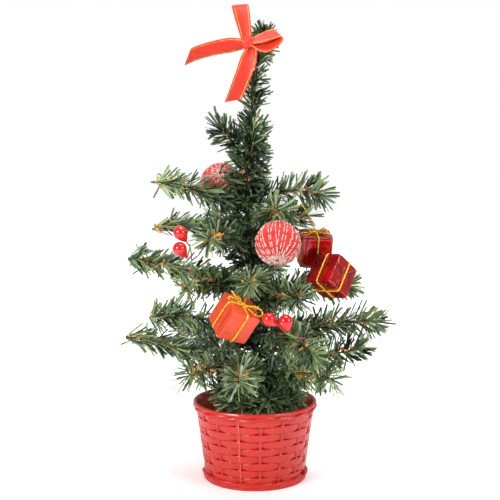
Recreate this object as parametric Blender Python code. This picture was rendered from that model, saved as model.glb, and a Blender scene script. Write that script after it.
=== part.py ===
"""A 300 mm artificial tabletop tree in a basket-pattern pot, with its bow, balls, gifts and berries.

Origin at the centre of the pot's underside, +Z up, front towards -Y. Sizes below are in millimetres
and become metres where a mesh or a curve is made.
"""

import math

import bmesh
import bpy
from mathutils import Matrix, Vector

MM = 0.001
GAP = 0.3
WELD = 1e-4
UP = Vector((0, 0, 1))

POT_HEIGHT = 49.3
POT_WALL = 1.3
POT_FLOOR = 1.8
POT_FOOT_RADIUS = 30.4
POT_MOUTH_RADIUS = 37.4
POT_BAND_PROUD = 1.2
POT_RIM_HEIGHT = 5.2
POT_RING_HEIGHT = 4.4
POT_SEGMENTS = 48

BALLAST_TOP = 31.0
TRUNK_BOTTOM = 6.0
TRUNK_TOP = 271.0
WIRE_RADIUS = 1.0
TRUNK_TWIST = 32.0
TRUNK_STEP = 4.0
# The trunk leans a little as bent wire does: height, then sideways offset.
TRUNK_BENDS = ((0, 0), (60, 0), (150, -4), (186, -5), (220, -1), (246, -1), (280, 5.4))

WRAP_RADIUS = 3.0
WRAP_WIRE = 0.6
WRAP_TURNS = 4
WRAP_PITCH = 2.6
WRAP_HEIGHTS = (62, 90, 116, 148, 172, 206)

ROOT_RADIUS = 4.3
STEM_RADIUS = 0.8
SLEEVE_RADIUS = 5.0
TIP_RADIUS = 1.6
SLEEVE_START = 6.0
SLEEVE_FULL = 22.0
SLEEVE_TAPER = 15.0

# Each branch: height of its root, direction round the trunk in degrees from +X, reach, height of
# its tip, and how far its middle arches above the straight line.
BRANCHES = {
    "branch_1_left": (64, 186, 80, 92, 3),
    "branch_1_right": (60, -16, 75, 85, 5),
    "branch_1_front_right": (63, -46, 69, 71, 6),
    "branch_1_front": (60, -99, 71, 79, 6),
    "branch_1_front_left": (65, -132, 60, 73, 6),
    "branch_1_back_left": (62, 130, 76, 84, 5),
    "branch_1_back_right": (64, 55, 76, 82, 5),
    "branch_2_left": (91, 166, 67, 97, 6),
    "branch_2_right": (88, -3, 85, 99, 5),
    "branch_2_front_right": (92, -58, 69, 86, 7),
    "branch_2_back": (89, 92, 74, 98, 5),
    "branch_3_left": (118, 181, 76, 139, 3),
    "branch_3_right": (113, -12, 71, 122, 5),
    "branch_3_front_right": (110, -64, 65, 122, 4),
    "branch_3_front": (119, -90, 57, 131, 3),
    "branch_3_front_left": (117, -133, 60, 127, 5),
    "branch_3_back": (117, 75, 66, 128, 4),
    "branch_4_left": (150, 190, 60, 160, 4),
    "branch_4_right": (147, 24, 49, 166, 3),
    "branch_4_front": (151, -66, 45, 173, 3),
    "branch_4_front_left": (145, -118, 51, 155, 4),
    "branch_4_back": (149, 118, 52, 160, 4),
    "branch_5_left": (170, 186, 59, 187, 3),
    "branch_5_right": (172, -9, 49, 179, 5),
    "branch_5_back": (175, 80, 38, 190, 3),
    "branch_6_left": (206, 200, 28, 222, 2),
}

LEADER_BOTTOM = 214.0
LEADER_TOP = 281.0
LEADER_RADIUS = 5.6
LEADER_TAPER = 0.85

RIBBON_WIDTH = 10.0
RIBBON_THICKNESS = 0.8
BOW_HEIGHT = 270.0
KNOT = Vector((-4.7, -10.6, 269.5))
KNOT_SIZE = Vector((7.4, 6.0, 8.0))
BOW_TIE_RADIUS = 6.6
BOW_TIE_WIRE = 0.45
BOW_TIE_END = 9.0

BALL_RADIUS = 13.5
BALL_WALL = 1.2
BALL_POLE_HOLE = 1.6
# Each ball: centre, direction of the pole that its wire leaves, and the wire's points to its hook.
BALLS = {
    "ball_front": (
        Vector((13, -48, 153)),
        Vector((0.05, 0.72, 0.69)),
        ((12.6, -34.6, 165.2), (12.4, -33.4, 165.9)),
    ),
    "ball_back": (
        Vector((-21.5, 17, 184)),
        Vector((0, -0.82, 0.57)),
        ((-20, 1.2, 196), (-12, 0.2, 200), (-8.2, 0, 201)),
    ),
}

GIFT_SIZE = 18.8
GIFT_EDGE = 0.8
CORD_RADIUS = 0.55
CORD_CORNER = 1.4
CORD_KNOT_RADIUS = 1.5
CORD_KNOT_RISE = 1.0
# Each gift: centre, its sideways and upward edge directions, and where its hanging wire hooks on.
GIFTS = {
    "gift_front": (
        Vector((-12, -58, 111)),
        Vector((0.769, 0.519, -0.373)),
        Vector((0.499, -0.31, 0.809)),
        Vector((-3, -47, 122.6)),
    ),
    "gift_upper": (
        Vector((36.2, -13, 146)),
        Vector((0.99, 0.1, -0.06)),
        Vector((0.07, -0.2, 0.98)),
        Vector((29, -6.4, 172)),
    ),
    "gift_lower": (
        Vector((44.6, -38, 132.6)),
        Vector((0.589, 0.522, -0.617)),
        Vector((0.373, 0.479, 0.795)),
        Vector((47, -12.4, 128.9)),
    ),
}

BERRY_RADIUS = 4.1
BERRY_LENGTH = 9.4
THIN_WIRE = 0.5
# Each pick: two berries as centre and direction of the narrow end, then the route of the stem.
BERRY_PICKS = {
    "berries_left": (
        (Vector((-43.2, -46, 158.8)), Vector((0.55, 0.1, -0.83))),
        (Vector((-43.6, -47, 149.6)), Vector((0.6, 0.1, -0.79))),
        ((-38.0, -45.4, 152.2), (-37.0, -45.0, 145.5), (-37.4, -44.0, 139.0), (-38.4, -42.6, 133.4)),
    ),
    "berries_front": (
        (Vector((7.6, -64, 111.4)), Vector((0.82, 0.1, -0.56))),
        (Vector((17.0, -66, 110.6)), Vector((0.3, 0.1, -0.95))),
        ((15.2, -64.6, 103.4), (20.4, -60.4, 100.6), (26.6, -52.0, 100.2), (29.2, -47.8, 99.0)),
    ),
}


def clear_scene():
    for obj in list(bpy.data.objects):
        bpy.data.objects.remove(obj)


def material(name, colour, roughness, metallic=0.0):
    made = bpy.data.materials.new(name)
    made.use_nodes = True
    shader = made.node_tree.nodes["Principled BSDF"]
    shader.inputs["Base Color"].default_value = (*colour, 1)
    shader.inputs["Roughness"].default_value = roughness
    shader.inputs["Metallic"].default_value = metallic
    made.diffuse_color = (*colour, 1)
    return made


def link(name, data, finish):
    obj = bpy.data.objects.new(name, data)
    bpy.context.scene.collection.objects.link(obj)
    obj.data.materials.append(finish)
    return obj


def mesh_object(name, bm, finish, smooth=True):
    bmesh.ops.recalc_face_normals(bm, faces=bm.faces)
    bmesh.ops.scale(bm, vec=(MM, MM, MM), verts=bm.verts)
    mesh = bpy.data.meshes.new(name)
    bm.to_mesh(mesh)
    bm.free()
    if smooth:
        mesh.shade_smooth()
        mesh.set_sharp_from_angle(angle=math.radians(40))
    return link(name, mesh, finish)


def guide(obj):
    obj.hide_render = True
    obj.display_type = "WIRE"
    return obj


def tube(name, points, radius, finish, sides=6, radii=None):
    """A round wire or sleeve along points, with its ends filled. radii thins it point by point."""
    curve = bpy.data.curves.new(name, "CURVE")
    curve.dimensions = "3D"
    curve.bevel_depth = radius * MM
    curve.bevel_resolution = (sides - 4) // 2
    curve.use_fill_caps = True
    spline = curve.splines.new("POLY")
    spline.points.add(len(points) - 1)
    for index, point in enumerate(points):
        spline.points[index].co = (*(Vector(point) * MM), 1)
        spline.points[index].radius = radii[index] / radius if radii else 1
    return link(name, curve, finish)


def as_mesh(obj):
    """The object with its curve or modifiers turned into a plain mesh."""
    graph = bpy.context.evaluated_depsgraph_get()
    mesh = bpy.data.meshes.new_from_object(obj.evaluated_get(graph))
    name = obj.name
    matrix = obj.matrix_world.copy()
    finish = obj.data.materials[0]
    bpy.data.objects.remove(obj)
    bm = bmesh.new()
    bm.from_mesh(mesh)
    bmesh.ops.remove_doubles(bm, verts=bm.verts, dist=1e-6)
    bmesh.ops.recalc_face_normals(bm, faces=bm.faces)
    bm.to_mesh(mesh)
    bm.free()
    mesh.materials.clear()
    made = link(name, mesh, finish)
    made.matrix_world = matrix
    return made


def combine(obj, other, operation):
    """Joins another solid to obj or cuts it away, with the other kept as a hidden guide."""
    guide(other)
    boolean = obj.modifiers.new(operation.lower(), "BOOLEAN")
    boolean.operation = operation
    boolean.object = other
    boolean.solver = "EXACT"


def spin_full_turn(bm, outline, segments):
    """Spins an outline round the Z axis and closes the seam."""
    axis = {"cent": (0, 0, 0), "axis": (0, 0, 1)}
    bmesh.ops.spin(bm, geom=outline, angle=math.tau, steps=segments, use_duplicate=False, **axis)
    bmesh.ops.remove_doubles(bm, verts=bm.verts, dist=WELD)


def turned(name, outline, segments, finish):
    """A closed outline of (radius, height) points spun round the Z axis."""
    bm = bmesh.new()
    corners = [bm.verts.new((radius, 0, height)) for radius, height in outline]
    edges = [bm.edges.new((a, b)) for a, b in zip(corners, corners[1:] + corners[:1])]
    spin_full_turn(bm, corners + edges, segments)
    bmesh.ops.dissolve_degenerate(bm, edges=bm.edges, dist=WELD)
    return mesh_object(name, bm, finish)


def turned_solid(name, outline, segments, finish):
    """As turned, for an outline that starts and ends on the axis, so that its poles close."""
    bm = bmesh.new()
    corners = [bm.verts.new((radius, 0, height)) for radius, height in outline]
    edges = [bm.edges.new(pair) for pair in zip(corners, corners[1:])]
    spin_full_turn(bm, corners + edges, segments)
    return mesh_object(name, bm, finish)


def turn_to(obj, direction, place):
    """Lays an object that was made along Z along direction, at a place in millimetres."""
    turn = UP.rotation_difference(direction.normalized())
    obj.matrix_world = Matrix.Translation(place * MM) @ turn.to_matrix().to_4x4()
    return obj


def trunk_at(height):
    """The trunk's centre at a height: straight between its bends, which a smooth step rounds."""
    for (low, x_low), (high, x_high) in zip(TRUNK_BENDS, TRUNK_BENDS[1:]):
        if height <= high:
            share = (height - low) / (high - low)
            if high < TRUNK_BENDS[-1][0]:
                share = share * share * (3 - 2 * share)
            return Vector((x_low + (x_high - x_low) * share, 0, height))
    return Vector((x_high, 0, height))


def heights(bottom, top, count):
    return [bottom + (top - bottom) * index / (count - 1) for index in range(count)]


def pot(finish):
    """The basket-pattern pot: a thin cone with a corded rim and foot ring, and a flat underside."""

    def wall(height):
        return POT_FOOT_RADIUS + (POT_MOUTH_RADIUS - POT_FOOT_RADIUS) * height / POT_HEIGHT

    rim = POT_HEIGHT - POT_RIM_HEIGHT
    outline = [
        (0, 0),
        (wall(0), 0),
        (wall(0) + POT_BAND_PROUD, POT_RING_HEIGHT * 0.25),
        (wall(0) + POT_BAND_PROUD, POT_RING_HEIGHT * 0.75),
        (wall(POT_RING_HEIGHT), POT_RING_HEIGHT),
        (wall(rim), rim),
        (wall(rim) + POT_BAND_PROUD, rim + POT_RIM_HEIGHT * 0.25),
        (wall(POT_HEIGHT) + POT_BAND_PROUD, POT_HEIGHT - POT_RIM_HEIGHT * 0.25),
        (wall(POT_HEIGHT), POT_HEIGHT),
        (wall(POT_HEIGHT) - POT_WALL, POT_HEIGHT),
        (wall(POT_FLOOR) - POT_WALL, POT_FLOOR),
        (0, POT_FLOOR),
    ]
    return turned_solid("pot", outline, POT_SEGMENTS, finish)


def ballast(finish):
    """The plaster cast into the pot, with the hole that the trunk stands in."""

    def inside(height):
        slope = (POT_MOUTH_RADIUS - POT_FOOT_RADIUS) / POT_HEIGHT
        return POT_FOOT_RADIUS + slope * height - POT_WALL - 2 * GAP

    bottom = POT_FLOOR + GAP
    hole = 2 * WIRE_RADIUS + GAP
    outline = [
        (0, bottom),
        (inside(bottom), bottom),
        (inside(BALLAST_TOP), BALLAST_TOP),
        (hole, BALLAST_TOP),
        (hole, TRUNK_BOTTOM - GAP),
        (0, TRUNK_BOTTOM - GAP),
    ]
    return turned_solid("ballast", outline, 32, finish)


def trunk_wire(finish):
    """Two wires twisted together: a two-lobed profile that turns as it climbs."""
    profile = bpy.data.curves.new("trunk_profile", "CURVE")
    profile.dimensions = "2D"
    outline = profile.splines.new("POLY")
    lobe = [math.radians(angle) for angle in (-110, -45, 45, 110)]
    corners = [(WIRE_RADIUS * (1 + math.cos(a)), WIRE_RADIUS * math.sin(a)) for a in lobe]
    corners += [(-x, -y) for x, y in corners]
    outline.points.add(len(corners) - 1)
    for point, (x, y) in zip(outline.points, corners):
        point.co = (x * MM, y * MM, 0, 1)
    outline.use_cyclic_u = True
    section = bpy.data.objects.new("trunk_profile", profile)
    bpy.context.scene.collection.objects.link(section)
    guide(section)
    count = int((TRUNK_TOP - TRUNK_BOTTOM) / TRUNK_STEP) + 1
    route = heights(TRUNK_BOTTOM, TRUNK_TOP, count)
    trunk = tube("trunk_wire", [trunk_at(height) for height in route], WIRE_RADIUS, finish)
    trunk.data.bevel_mode = "OBJECT"
    trunk.data.bevel_object = section
    for point, height in zip(trunk.data.splines[0].points, route):
        point.tilt = math.tau * (height - TRUNK_BOTTOM) / TRUNK_TWIST
    return as_mesh(trunk)


def tier_wrap(tier, height, finish):
    """The tails of one tier's branches, wound round the trunk."""
    steps = WRAP_TURNS * 10
    route = []
    for index in range(steps + 1):
        angle = math.tau * index / 10
        place = trunk_at(height + WRAP_PITCH * (index / 10 - WRAP_TURNS / 2))
        route.append(place + WRAP_RADIUS * Vector((math.cos(angle), math.sin(angle), 0)))
    return tube(f"tier_{tier}_wrap", route, WRAP_WIRE, finish)


def branch_route(root_height, azimuth, reach, tip_height, arch):
    """A function of the share from root to tip that gives the branch wire's centre."""
    axis = trunk_at(root_height)
    outward = Vector((math.cos(math.radians(azimuth)), math.sin(math.radians(azimuth)), 0))
    root = axis + outward * ROOT_RADIUS
    tip = axis + outward * reach + UP * (tip_height - root_height)
    middle = (root + tip) / 2 + UP * 2 * arch
    return lambda share: root * (1 - share) ** 2 + middle * 2 * share * (1 - share) + tip * share**2


def branch(name, row, finish):
    """Wire and needles as one sleeve: a bare stem, then the needles' girth, thinner at the tip."""
    route = branch_route(*row)
    length = (route(1) - route(0)).length
    stations = [0, SLEEVE_START, (SLEEVE_START + SLEEVE_FULL) / 2, SLEEVE_FULL]
    full = length - SLEEVE_TAPER
    girth = [STEM_RADIUS, STEM_RADIUS, SLEEVE_RADIUS * 0.7, SLEEVE_RADIUS]
    if full > SLEEVE_FULL + 6:
        between = max(2, round((full - SLEEVE_FULL) / 12))
        stations += heights(SLEEVE_FULL, full, between + 1)[1:]
        girth += [SLEEVE_RADIUS] * between
    else:
        stations = stations[:3]
        girth = girth[:3]
    stations += [length - 5, length]
    girth += [SLEEVE_RADIUS * 0.66, TIP_RADIUS]
    points = [route(station / length) for station in stations]
    root = points[0]
    local = [point - root for point in points]
    made = tube(name, local, SLEEVE_RADIUS, finish, sides=8, radii=girth)
    made.location = root * MM
    return made


def leader_needles(finish):
    """The needles on the trunk's top, as a sleeve bored for the wire that they are twisted into."""
    route = heights(LEADER_BOTTOM, LEADER_TOP, 12)
    girth = [LEADER_RADIUS * min(1, 1 - (share - LEADER_TAPER) / 0.3) for share in heights(0, 1, 12)]
    needles = tube("leader_needles", [trunk_at(h) for h in route], LEADER_RADIUS, finish, 10, girth)
    sleeve = as_mesh(needles)
    route = heights(LEADER_BOTTOM - 4, TRUNK_TOP + GAP, 14)
    bore = tube("leader_bore", [trunk_at(h) for h in route], 2 * WIRE_RADIUS + GAP, finish, sides=8)
    combine(sleeve, as_mesh(bore), "DIFFERENCE")
    return sleeve


def strip(name, route, across, finish):
    """A flat ribbon along route. across gives its width's direction at each point."""
    bm = bmesh.new()
    half = RIBBON_WIDTH / 2
    rows = []
    for point, side in zip(route, across):
        rows.append((bm.verts.new(point - side * half), bm.verts.new(point + side * half)))
    for (a, b), (c, d) in zip(rows, rows[1:]):
        bm.faces.new((a, c, d, b))
    made = mesh_object(name, bm, finish, smooth=False)
    wall = made.modifiers.new("thickness", "SOLIDIFY")
    wall.thickness = RIBBON_THICKNESS * MM
    wall.offset = 0
    wall.use_even_offset = True
    return made


def loop_route(start, outward, spread, length, count=11):
    """A ribbon loop: out from start along outward and back, opened by spread in the middle."""
    route = []
    for index in range(count):
        turn = math.pi * index / (count - 1)
        out = math.sin(turn) ** 0.8 * length
        route.append(start + outward * out + spread * math.cos(turn) * (0.35 + 0.65 * math.sin(turn)))
    return route


def bow_ribbon(finish):
    """One ribbon tied in a bow: knot, upper loop, right loop, left tail and lower tail."""
    bm = bmesh.new()
    bmesh.ops.create_icosphere(bm, subdivisions=2, radius=0.5, matrix=Matrix.Diagonal((*KNOT_SIZE, 1)))
    bmesh.ops.translate(bm, verts=bm.verts, vec=KNOT)
    knot = mesh_object("bow_ribbon", bm, finish)
    loops = (
        ("bow_upper_loop", Vector((-4.2, 0, 22.4)), Vector((0.98, -0.1, 0.18)), 2.4),
        ("bow_right_loop", Vector((20.6, -4.0, 3.8)), Vector((0.3, -0.6, -0.74)), 3.4),
    )
    for name, reach, width, spread in loops:
        outward = reach.normalized()
        across = (width - outward * width.dot(outward)).normalized()
        route = loop_route(KNOT, outward, across.cross(outward) * spread, reach.length)
        combine(knot, as_mesh(strip(name, route, [across] * len(route), finish)), "UNION")
    tails = (
        ("bow_left_tail", (-37.4, -3.6, -11.8), (-10, -2, 9), (0.25, -0.45, 0.86)),
        ("bow_lower_tail", (-9.2, -3.6, -34), (7, -4, -6), (0.95, 0.05, -0.3)),
    )
    for name, *settings in tails:
        reach, bend, across = map(Vector, settings)
        route = [KNOT + reach * share + bend * share * (1 - share) for share in heights(0, 1, 8)]
        combine(knot, as_mesh(strip(name, route, [across.normalized()] * 8, finish)), "UNION")
    return knot


def bow_tie(finish):
    """The wire that ties the bow round the leader, its two ends at the back of the knot."""
    centre = trunk_at(BOW_HEIGHT)
    along = (trunk_at(BOW_HEIGHT + 2) - trunk_at(BOW_HEIGHT - 2)).normalized()
    towards = KNOT - centre
    towards = (towards - along * towards.dot(along)).normalized()
    side = along.cross(towards)
    route = [centre + towards * BOW_TIE_END + side]
    for angle in heights(math.radians(24), math.radians(336), 22):
        route.append(centre + BOW_TIE_RADIUS * (towards * math.cos(angle) + side * math.sin(angle)))
    route.append(centre + towards * BOW_TIE_END - side)
    return tube("bow_tie_wire", route, BOW_TIE_WIRE, finish)


def arc(radius, first, last, count):
    angles = [math.radians(angle) for angle in heights(first, last, count)]
    return [(radius * math.cos(angle), radius * math.sin(angle)) for angle in angles]


def ball(name, centre, pole, wire_points, foam, thread, wire):
    """A foam ball wound with satin thread from pole to pole, and the wire that hangs it."""
    core_radius = BALL_RADIUS - BALL_WALL - 2 * GAP
    core_outline = [(0, -core_radius)] + arc(core_radius, -75, 75, 9) + [(0, core_radius)]
    core = turn_to(turned_solid(f"{name}_core", core_outline, 16, foam), pole, centre)
    edge = math.degrees(math.acos(BALL_POLE_HOLE / BALL_RADIUS))
    outside = arc(BALL_RADIUS, -edge, edge, 12)
    edge = math.degrees(math.acos(BALL_POLE_HOLE / (BALL_RADIUS - BALL_WALL)))
    inside = arc(BALL_RADIUS - BALL_WALL, edge, -edge, 12)
    winding = turn_to(turned(f"{name}_winding", outside + inside, 20, thread), pole, centre)
    start = centre + pole.normalized() * (BALL_RADIUS + GAP)
    hanger = tube(f"{name}_wire", [start, *map(Vector, wire_points)], THIN_WIRE, wire)
    return core, winding, hanger


def gift(name, centre, sideways, upwards, hook, foil, gold):
    """A foil-covered cube, and the gold cord tied round it both ways that also hangs it."""
    z = upwards.normalized()
    x = (sideways - z * sideways.dot(z)).normalized()
    y = z.cross(x)
    frame = Matrix((x, y, z)).transposed().to_4x4()
    frame.translation = centre * MM
    bm = bmesh.new()
    bmesh.ops.create_cube(bm, size=GIFT_SIZE)
    box = mesh_object(f"{name}_box", bm, foil, smooth=False)
    box.matrix_world = frame
    bevel = box.modifiers.new("edges", "BEVEL")
    bevel.width = GIFT_EDGE * MM
    bevel.segments = 1
    half = GIFT_SIZE / 2 + GAP + CORD_RADIUS
    flat = half - CORD_CORNER
    ring = [(half, -flat), (half, flat), (flat, half), (-flat, half)]
    ring += [(-a, -b) for a, b in ring]
    cord = closed_ring(f"{name}_cord", [Vector((a, 0, b)) for a, b in ring], gold)
    across = closed_ring(f"{name}_cord_across", [Vector((0.02, a, b)) for a, b in ring], gold)
    bm = bmesh.new()
    bmesh.ops.create_icosphere(bm, subdivisions=2, radius=CORD_KNOT_RADIUS)
    start = Vector((0, 0, half + CORD_KNOT_RISE))
    bmesh.ops.translate(bm, verts=bm.verts, vec=start)
    knot = mesh_object(f"{name}_cord_knot", bm, gold)
    top = frame.inverted() @ (hook * MM) / MM
    bend = start.lerp(top, 0.55) + UP
    hanger = tube(f"{name}_cord_hanger", [start, bend, top], CORD_RADIUS, gold)
    for piece in (across, knot, as_mesh(hanger)):
        piece.matrix_world = frame
        combine(cord, piece, "UNION")
    cord.matrix_world = frame
    return box, cord


def closed_ring(name, points, finish):
    ring = tube(name, points, CORD_RADIUS, finish)
    ring.data.splines[0].use_cyclic_u = True
    return as_mesh(ring)


def berry(name, centre, narrow, finish):
    """A bead with one narrow end, where its stem goes in."""
    low = BERRY_RADIUS
    outline = [(0, -low)] + arc(low, -60, 0, 4)
    outline += [(low * 0.82, 2.4), (low * 0.42, 4.4), (0, BERRY_LENGTH - low)]
    return turn_to(turned_solid(name, outline, 12, finish), narrow, centre)


def main():
    clear_scene()
    plastic = material("pot_plastic", (0.62, 0.045, 0.04), 0.3)
    plaster = material("plaster", (0.75, 0.72, 0.66), 0.9)
    steel = material("dark_wire", (0.08, 0.1, 0.07), 0.45, 0.8)
    needles = material("needles", (0.07, 0.16, 0.07), 0.5)
    satin = material("red_satin", (0.8, 0.05, 0.03), 0.35)
    foam = material("foam", (0.85, 0.83, 0.78), 0.8)
    orange_foil = material("orange_red_foil", (0.78, 0.09, 0.04), 0.3, 0.7)
    red_foil = material("red_foil", (0.5, 0.02, 0.03), 0.18, 0.8)
    gold = material("gold_cord", (0.85, 0.6, 0.18), 0.3, 0.9)
    glossy = material("berry_red", (0.6, 0.02, 0.02), 0.15)

    pot(plastic)
    ballast(plaster)
    trunk_wire(steel)
    for tier, height in enumerate(WRAP_HEIGHTS, start=1):
        tier_wrap(tier, height, steel)
    for name, row in BRANCHES.items():
        branch(name, row, needles)
    leader_needles(needles)
    bow_ribbon(satin)
    bow_tie(gold)
    for name, (centre, pole, wire_points) in BALLS.items():
        ball(name, centre, pole, wire_points, foam, satin, steel)
    for name, (centre, sideways, upwards, hook) in GIFTS.items():
        foil = orange_foil if name == "gift_front" else red_foil
        gift(name, centre, sideways, upwards, hook, foil, gold)
    for name, (first, second, stem) in BERRY_PICKS.items():
        for number, (centre, narrow) in enumerate((first, second), start=1):
            berry(f"{name}_{number}", centre, narrow, glossy)
        tube(f"{name}_stem", stem, THIN_WIRE, steel)


main()
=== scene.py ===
# %% [markdown]
# A small artificial tree for a table, in a basket-pattern pot, trimmed with a bow, two thread
# balls, three foil gifts and two berry picks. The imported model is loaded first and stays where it
# is: every piece made here is built around it and rides on one of its bodies.

# %% Load the fixed frame
import math

import bmesh
import bpy
import numpy as np
from mathutils import Matrix, Vector, noise


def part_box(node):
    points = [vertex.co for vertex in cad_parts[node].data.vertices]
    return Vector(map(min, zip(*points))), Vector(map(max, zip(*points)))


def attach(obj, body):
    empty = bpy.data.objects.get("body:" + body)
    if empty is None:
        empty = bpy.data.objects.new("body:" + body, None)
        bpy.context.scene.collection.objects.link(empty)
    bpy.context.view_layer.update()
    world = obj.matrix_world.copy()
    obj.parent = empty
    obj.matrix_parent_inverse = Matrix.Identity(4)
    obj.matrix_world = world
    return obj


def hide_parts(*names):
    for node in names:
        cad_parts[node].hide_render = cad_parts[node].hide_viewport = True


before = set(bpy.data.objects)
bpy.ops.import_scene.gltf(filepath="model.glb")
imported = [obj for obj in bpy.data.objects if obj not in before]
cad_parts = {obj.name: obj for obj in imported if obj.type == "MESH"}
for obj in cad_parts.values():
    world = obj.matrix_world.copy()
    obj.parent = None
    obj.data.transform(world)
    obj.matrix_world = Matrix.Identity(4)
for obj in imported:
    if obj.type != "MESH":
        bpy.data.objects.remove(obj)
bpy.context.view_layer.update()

MM = 0.001

# %% [markdown]
# The camera comes before the pieces. It stands level with the upper branches, looks slightly down,
# and has a long lens, so that the tree keeps its proportions from foot to bow.

# %% Camera
CAMERA_PLACE = (-0.0031, -0.670, 0.220)
CAMERA_TILT = math.radians(83.5)
CAMERA_LENS = 78.3
bpy.ops.object.camera_add(location=CAMERA_PLACE, rotation=(CAMERA_TILT, 0, 0))
camera = bpy.context.object
camera.data.lens = CAMERA_LENS
camera.data.sensor_width = 36
camera.data.clip_start = 0.01
bpy.context.scene.camera = camera
bpy.context.scene.view_settings.view_transform = "Standard"
print("camera:", tuple(round(value, 3) for value in camera.location))

# %% [markdown]
# Modelling by operators needs three habits: select only what the next operator may touch, pick
# vertices or edges by where they are, and leave every finished mesh closed and facing out. These
# helpers hold the habits, so that the cells below can be about the object.


# %% Helpers for modelling
def only(*chosen):
    """Selects these objects and nothing else. The first one becomes active."""
    bpy.ops.object.select_all(action="DESELECT")
    for obj in chosen:
        obj.select_set(True)
    if chosen:
        bpy.context.view_layer.objects.active = chosen[0]


def edit(obj, kind):
    """Opens the mesh for editing with vertices (VERT), edges (EDGE) or faces (FACE) to pick."""
    only(obj)
    bpy.ops.object.mode_set(mode="EDIT")
    bpy.ops.mesh.select_mode(type=kind)
    bpy.ops.mesh.select_all(action="DESELECT")


def pick(obj, kind, test):
    """In edit mode: selects what test accepts, by place, and by direction (edge) or normal."""
    bpy.ops.mesh.select_all(action="DESELECT")
    bm = bmesh.from_edit_mesh(obj.data)
    for item in {"VERT": bm.verts, "EDGE": bm.edges}[kind]:
        if kind == "VERT":
            chosen = test(item.co, item.normal)
        else:
            start, end = item.verts[0].co, item.verts[1].co
            chosen = test((start + end) / 2, (end - start).normalized())
        item.select_set(chosen)
    bm.select_flush_mode()
    bmesh.update_edit_mesh(obj.data)


def close_edit(obj, merge=1e-7):
    """Merges doubles, turns the faces outwards and goes back to object mode."""
    bpy.ops.mesh.select_all(action="SELECT")
    bpy.ops.mesh.remove_doubles(threshold=merge)
    bpy.ops.mesh.normals_make_consistent(inside=False)
    bpy.ops.object.mode_set(mode="OBJECT")
    return obj


def apply_modifier(obj, kind, **settings):
    """Adds a modifier, sets it up and applies it."""
    only(obj)
    added = obj.modifiers.new(kind.lower(), kind)
    for key, value in settings.items():
        setattr(added, key, value)
    bpy.ops.object.modifier_apply(modifier=added.name)
    return obj


def settle(obj, matrix=None):
    """Puts the object's place into its mesh, so that the object itself sits at the origin."""
    only(obj)
    bpy.ops.object.transform_apply(location=True, rotation=True, scale=True)
    if matrix is not None:
        obj.data.transform(matrix)
    obj.data.update()
    return obj


def smooth(obj, angle):
    """Shades smooth, but keeps edges sharp that fold by more than angle degrees."""
    only(obj)
    bpy.ops.object.shade_smooth_by_angle(angle=math.radians(angle))
    return obj


def joined(name, *pieces):
    """One object out of several, with a name of its own."""
    only(*pieces)
    if len(pieces) > 1:
        bpy.ops.object.join()
    bpy.context.object.name = name
    bpy.context.object.data.name = name
    return bpy.context.object


def dress(obj, *materials):
    """Gives the piece these materials and no others."""
    obj.data.materials.clear()
    for material in materials:
        obj.data.materials.append(material)
    return obj


def put_on(piece, body, slot, *nodes):
    """Says what a piece rides on and which CAD nodes it stands for. slot is not used."""
    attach(piece, body)
    if nodes:
        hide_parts(*nodes)
    return piece


# %% [markdown]
# Wires, cords and threads all follow a route, which is a row of points in millimetres. Two side
# directions are carried along each route without turning, so that strands can be twisted round it.


# %% Helpers for routes
def unit(vectors):
    """The same directions with length 1."""
    vectors = np.asarray(vectors, float)
    return vectors / np.linalg.norm(vectors, axis=-1, keepdims=True)


def ahead(route):
    """The route's direction at each of its points."""
    return unit(np.gradient(np.asarray(route, float), axis=0))


def sideways(route):
    """Two directions square to the route at each point, carried along it without turning."""
    forward = ahead(route)
    first = [unit(np.cross(forward[0], (0.31, 0.52, 0.79)))]
    for way in forward[1:]:
        first.append(unit(first[-1] - way * np.dot(first[-1], way)))
    first = np.array(first)
    return first, np.cross(forward, first)


def curved(points, count):
    """count points on a smooth line through the given ones (Catmull-Rom)."""
    points = np.asarray(points, float)
    padded = np.vstack([2 * points[0] - points[1], points, 2 * points[-1] - points[-2]])
    made = []
    for place in np.linspace(0, len(points) - 1, count):
        index = min(int(place), len(points) - 2)
        t = place - index
        a, b, c, d = padded[index:index + 4]
        squared = (2 * a - 5 * b + 4 * c - d) * t**2
        cubed = (3 * b - a - 3 * c + d) * t**3
        made.append(0.5 * (2 * b + (c - a) * t + squared + cubed))
    return np.array(made)


def twisted(route, radius, pitch, strands=2, start=0.0):
    """Routes of the strands of a cord that follows route, one full turn in each pitch."""
    route = np.asarray(route, float)
    a, b = sideways(route)
    run = np.concatenate([[0], np.cumsum(np.linalg.norm(np.diff(route, axis=0), axis=1))])
    made = []
    for strand in range(strands):
        turn = (math.tau * (run / pitch + strand / strands) + start)[:, None]
        made.append(route + radius * (a * np.cos(turn) + b * np.sin(turn)))
    return made


def tubes(name, routes, radius, sides=6, closed=False, radii=None):
    """Round wires along routes in millimetres, as one closed mesh."""
    curve = bpy.data.curves.new(name, "CURVE")
    curve.dimensions = "3D"
    curve.bevel_depth = radius * MM
    curve.bevel_resolution = (sides - 4) // 2
    curve.use_fill_caps = not closed
    for route in routes:
        spline = curve.splines.new("POLY")
        spline.points.add(len(route) - 1)
        for index, point in enumerate(route):
            spline.points[index].co = (*(Vector(point) * MM), 1)
            spline.points[index].radius = 1 if radii is None else radii[index]
        spline.use_cyclic_u = closed
    obj = bpy.data.objects.new(name, curve)
    bpy.context.scene.collection.objects.link(obj)
    only(obj)
    bpy.ops.object.convert(target="MESH")
    obj = bpy.context.object
    edit(obj, "VERT")
    close_edit(obj)
    return smooth(obj, 60)


def cad_points(node):
    """A CAD node's corners, each once, in millimetres."""
    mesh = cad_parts[node].data
    corners = np.empty(len(mesh.vertices) * 3, np.float32)
    mesh.vertices.foreach_get("co", corners)
    return np.unique(np.round(corners.reshape(-1, 3) / MM, 3), axis=0)


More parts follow.
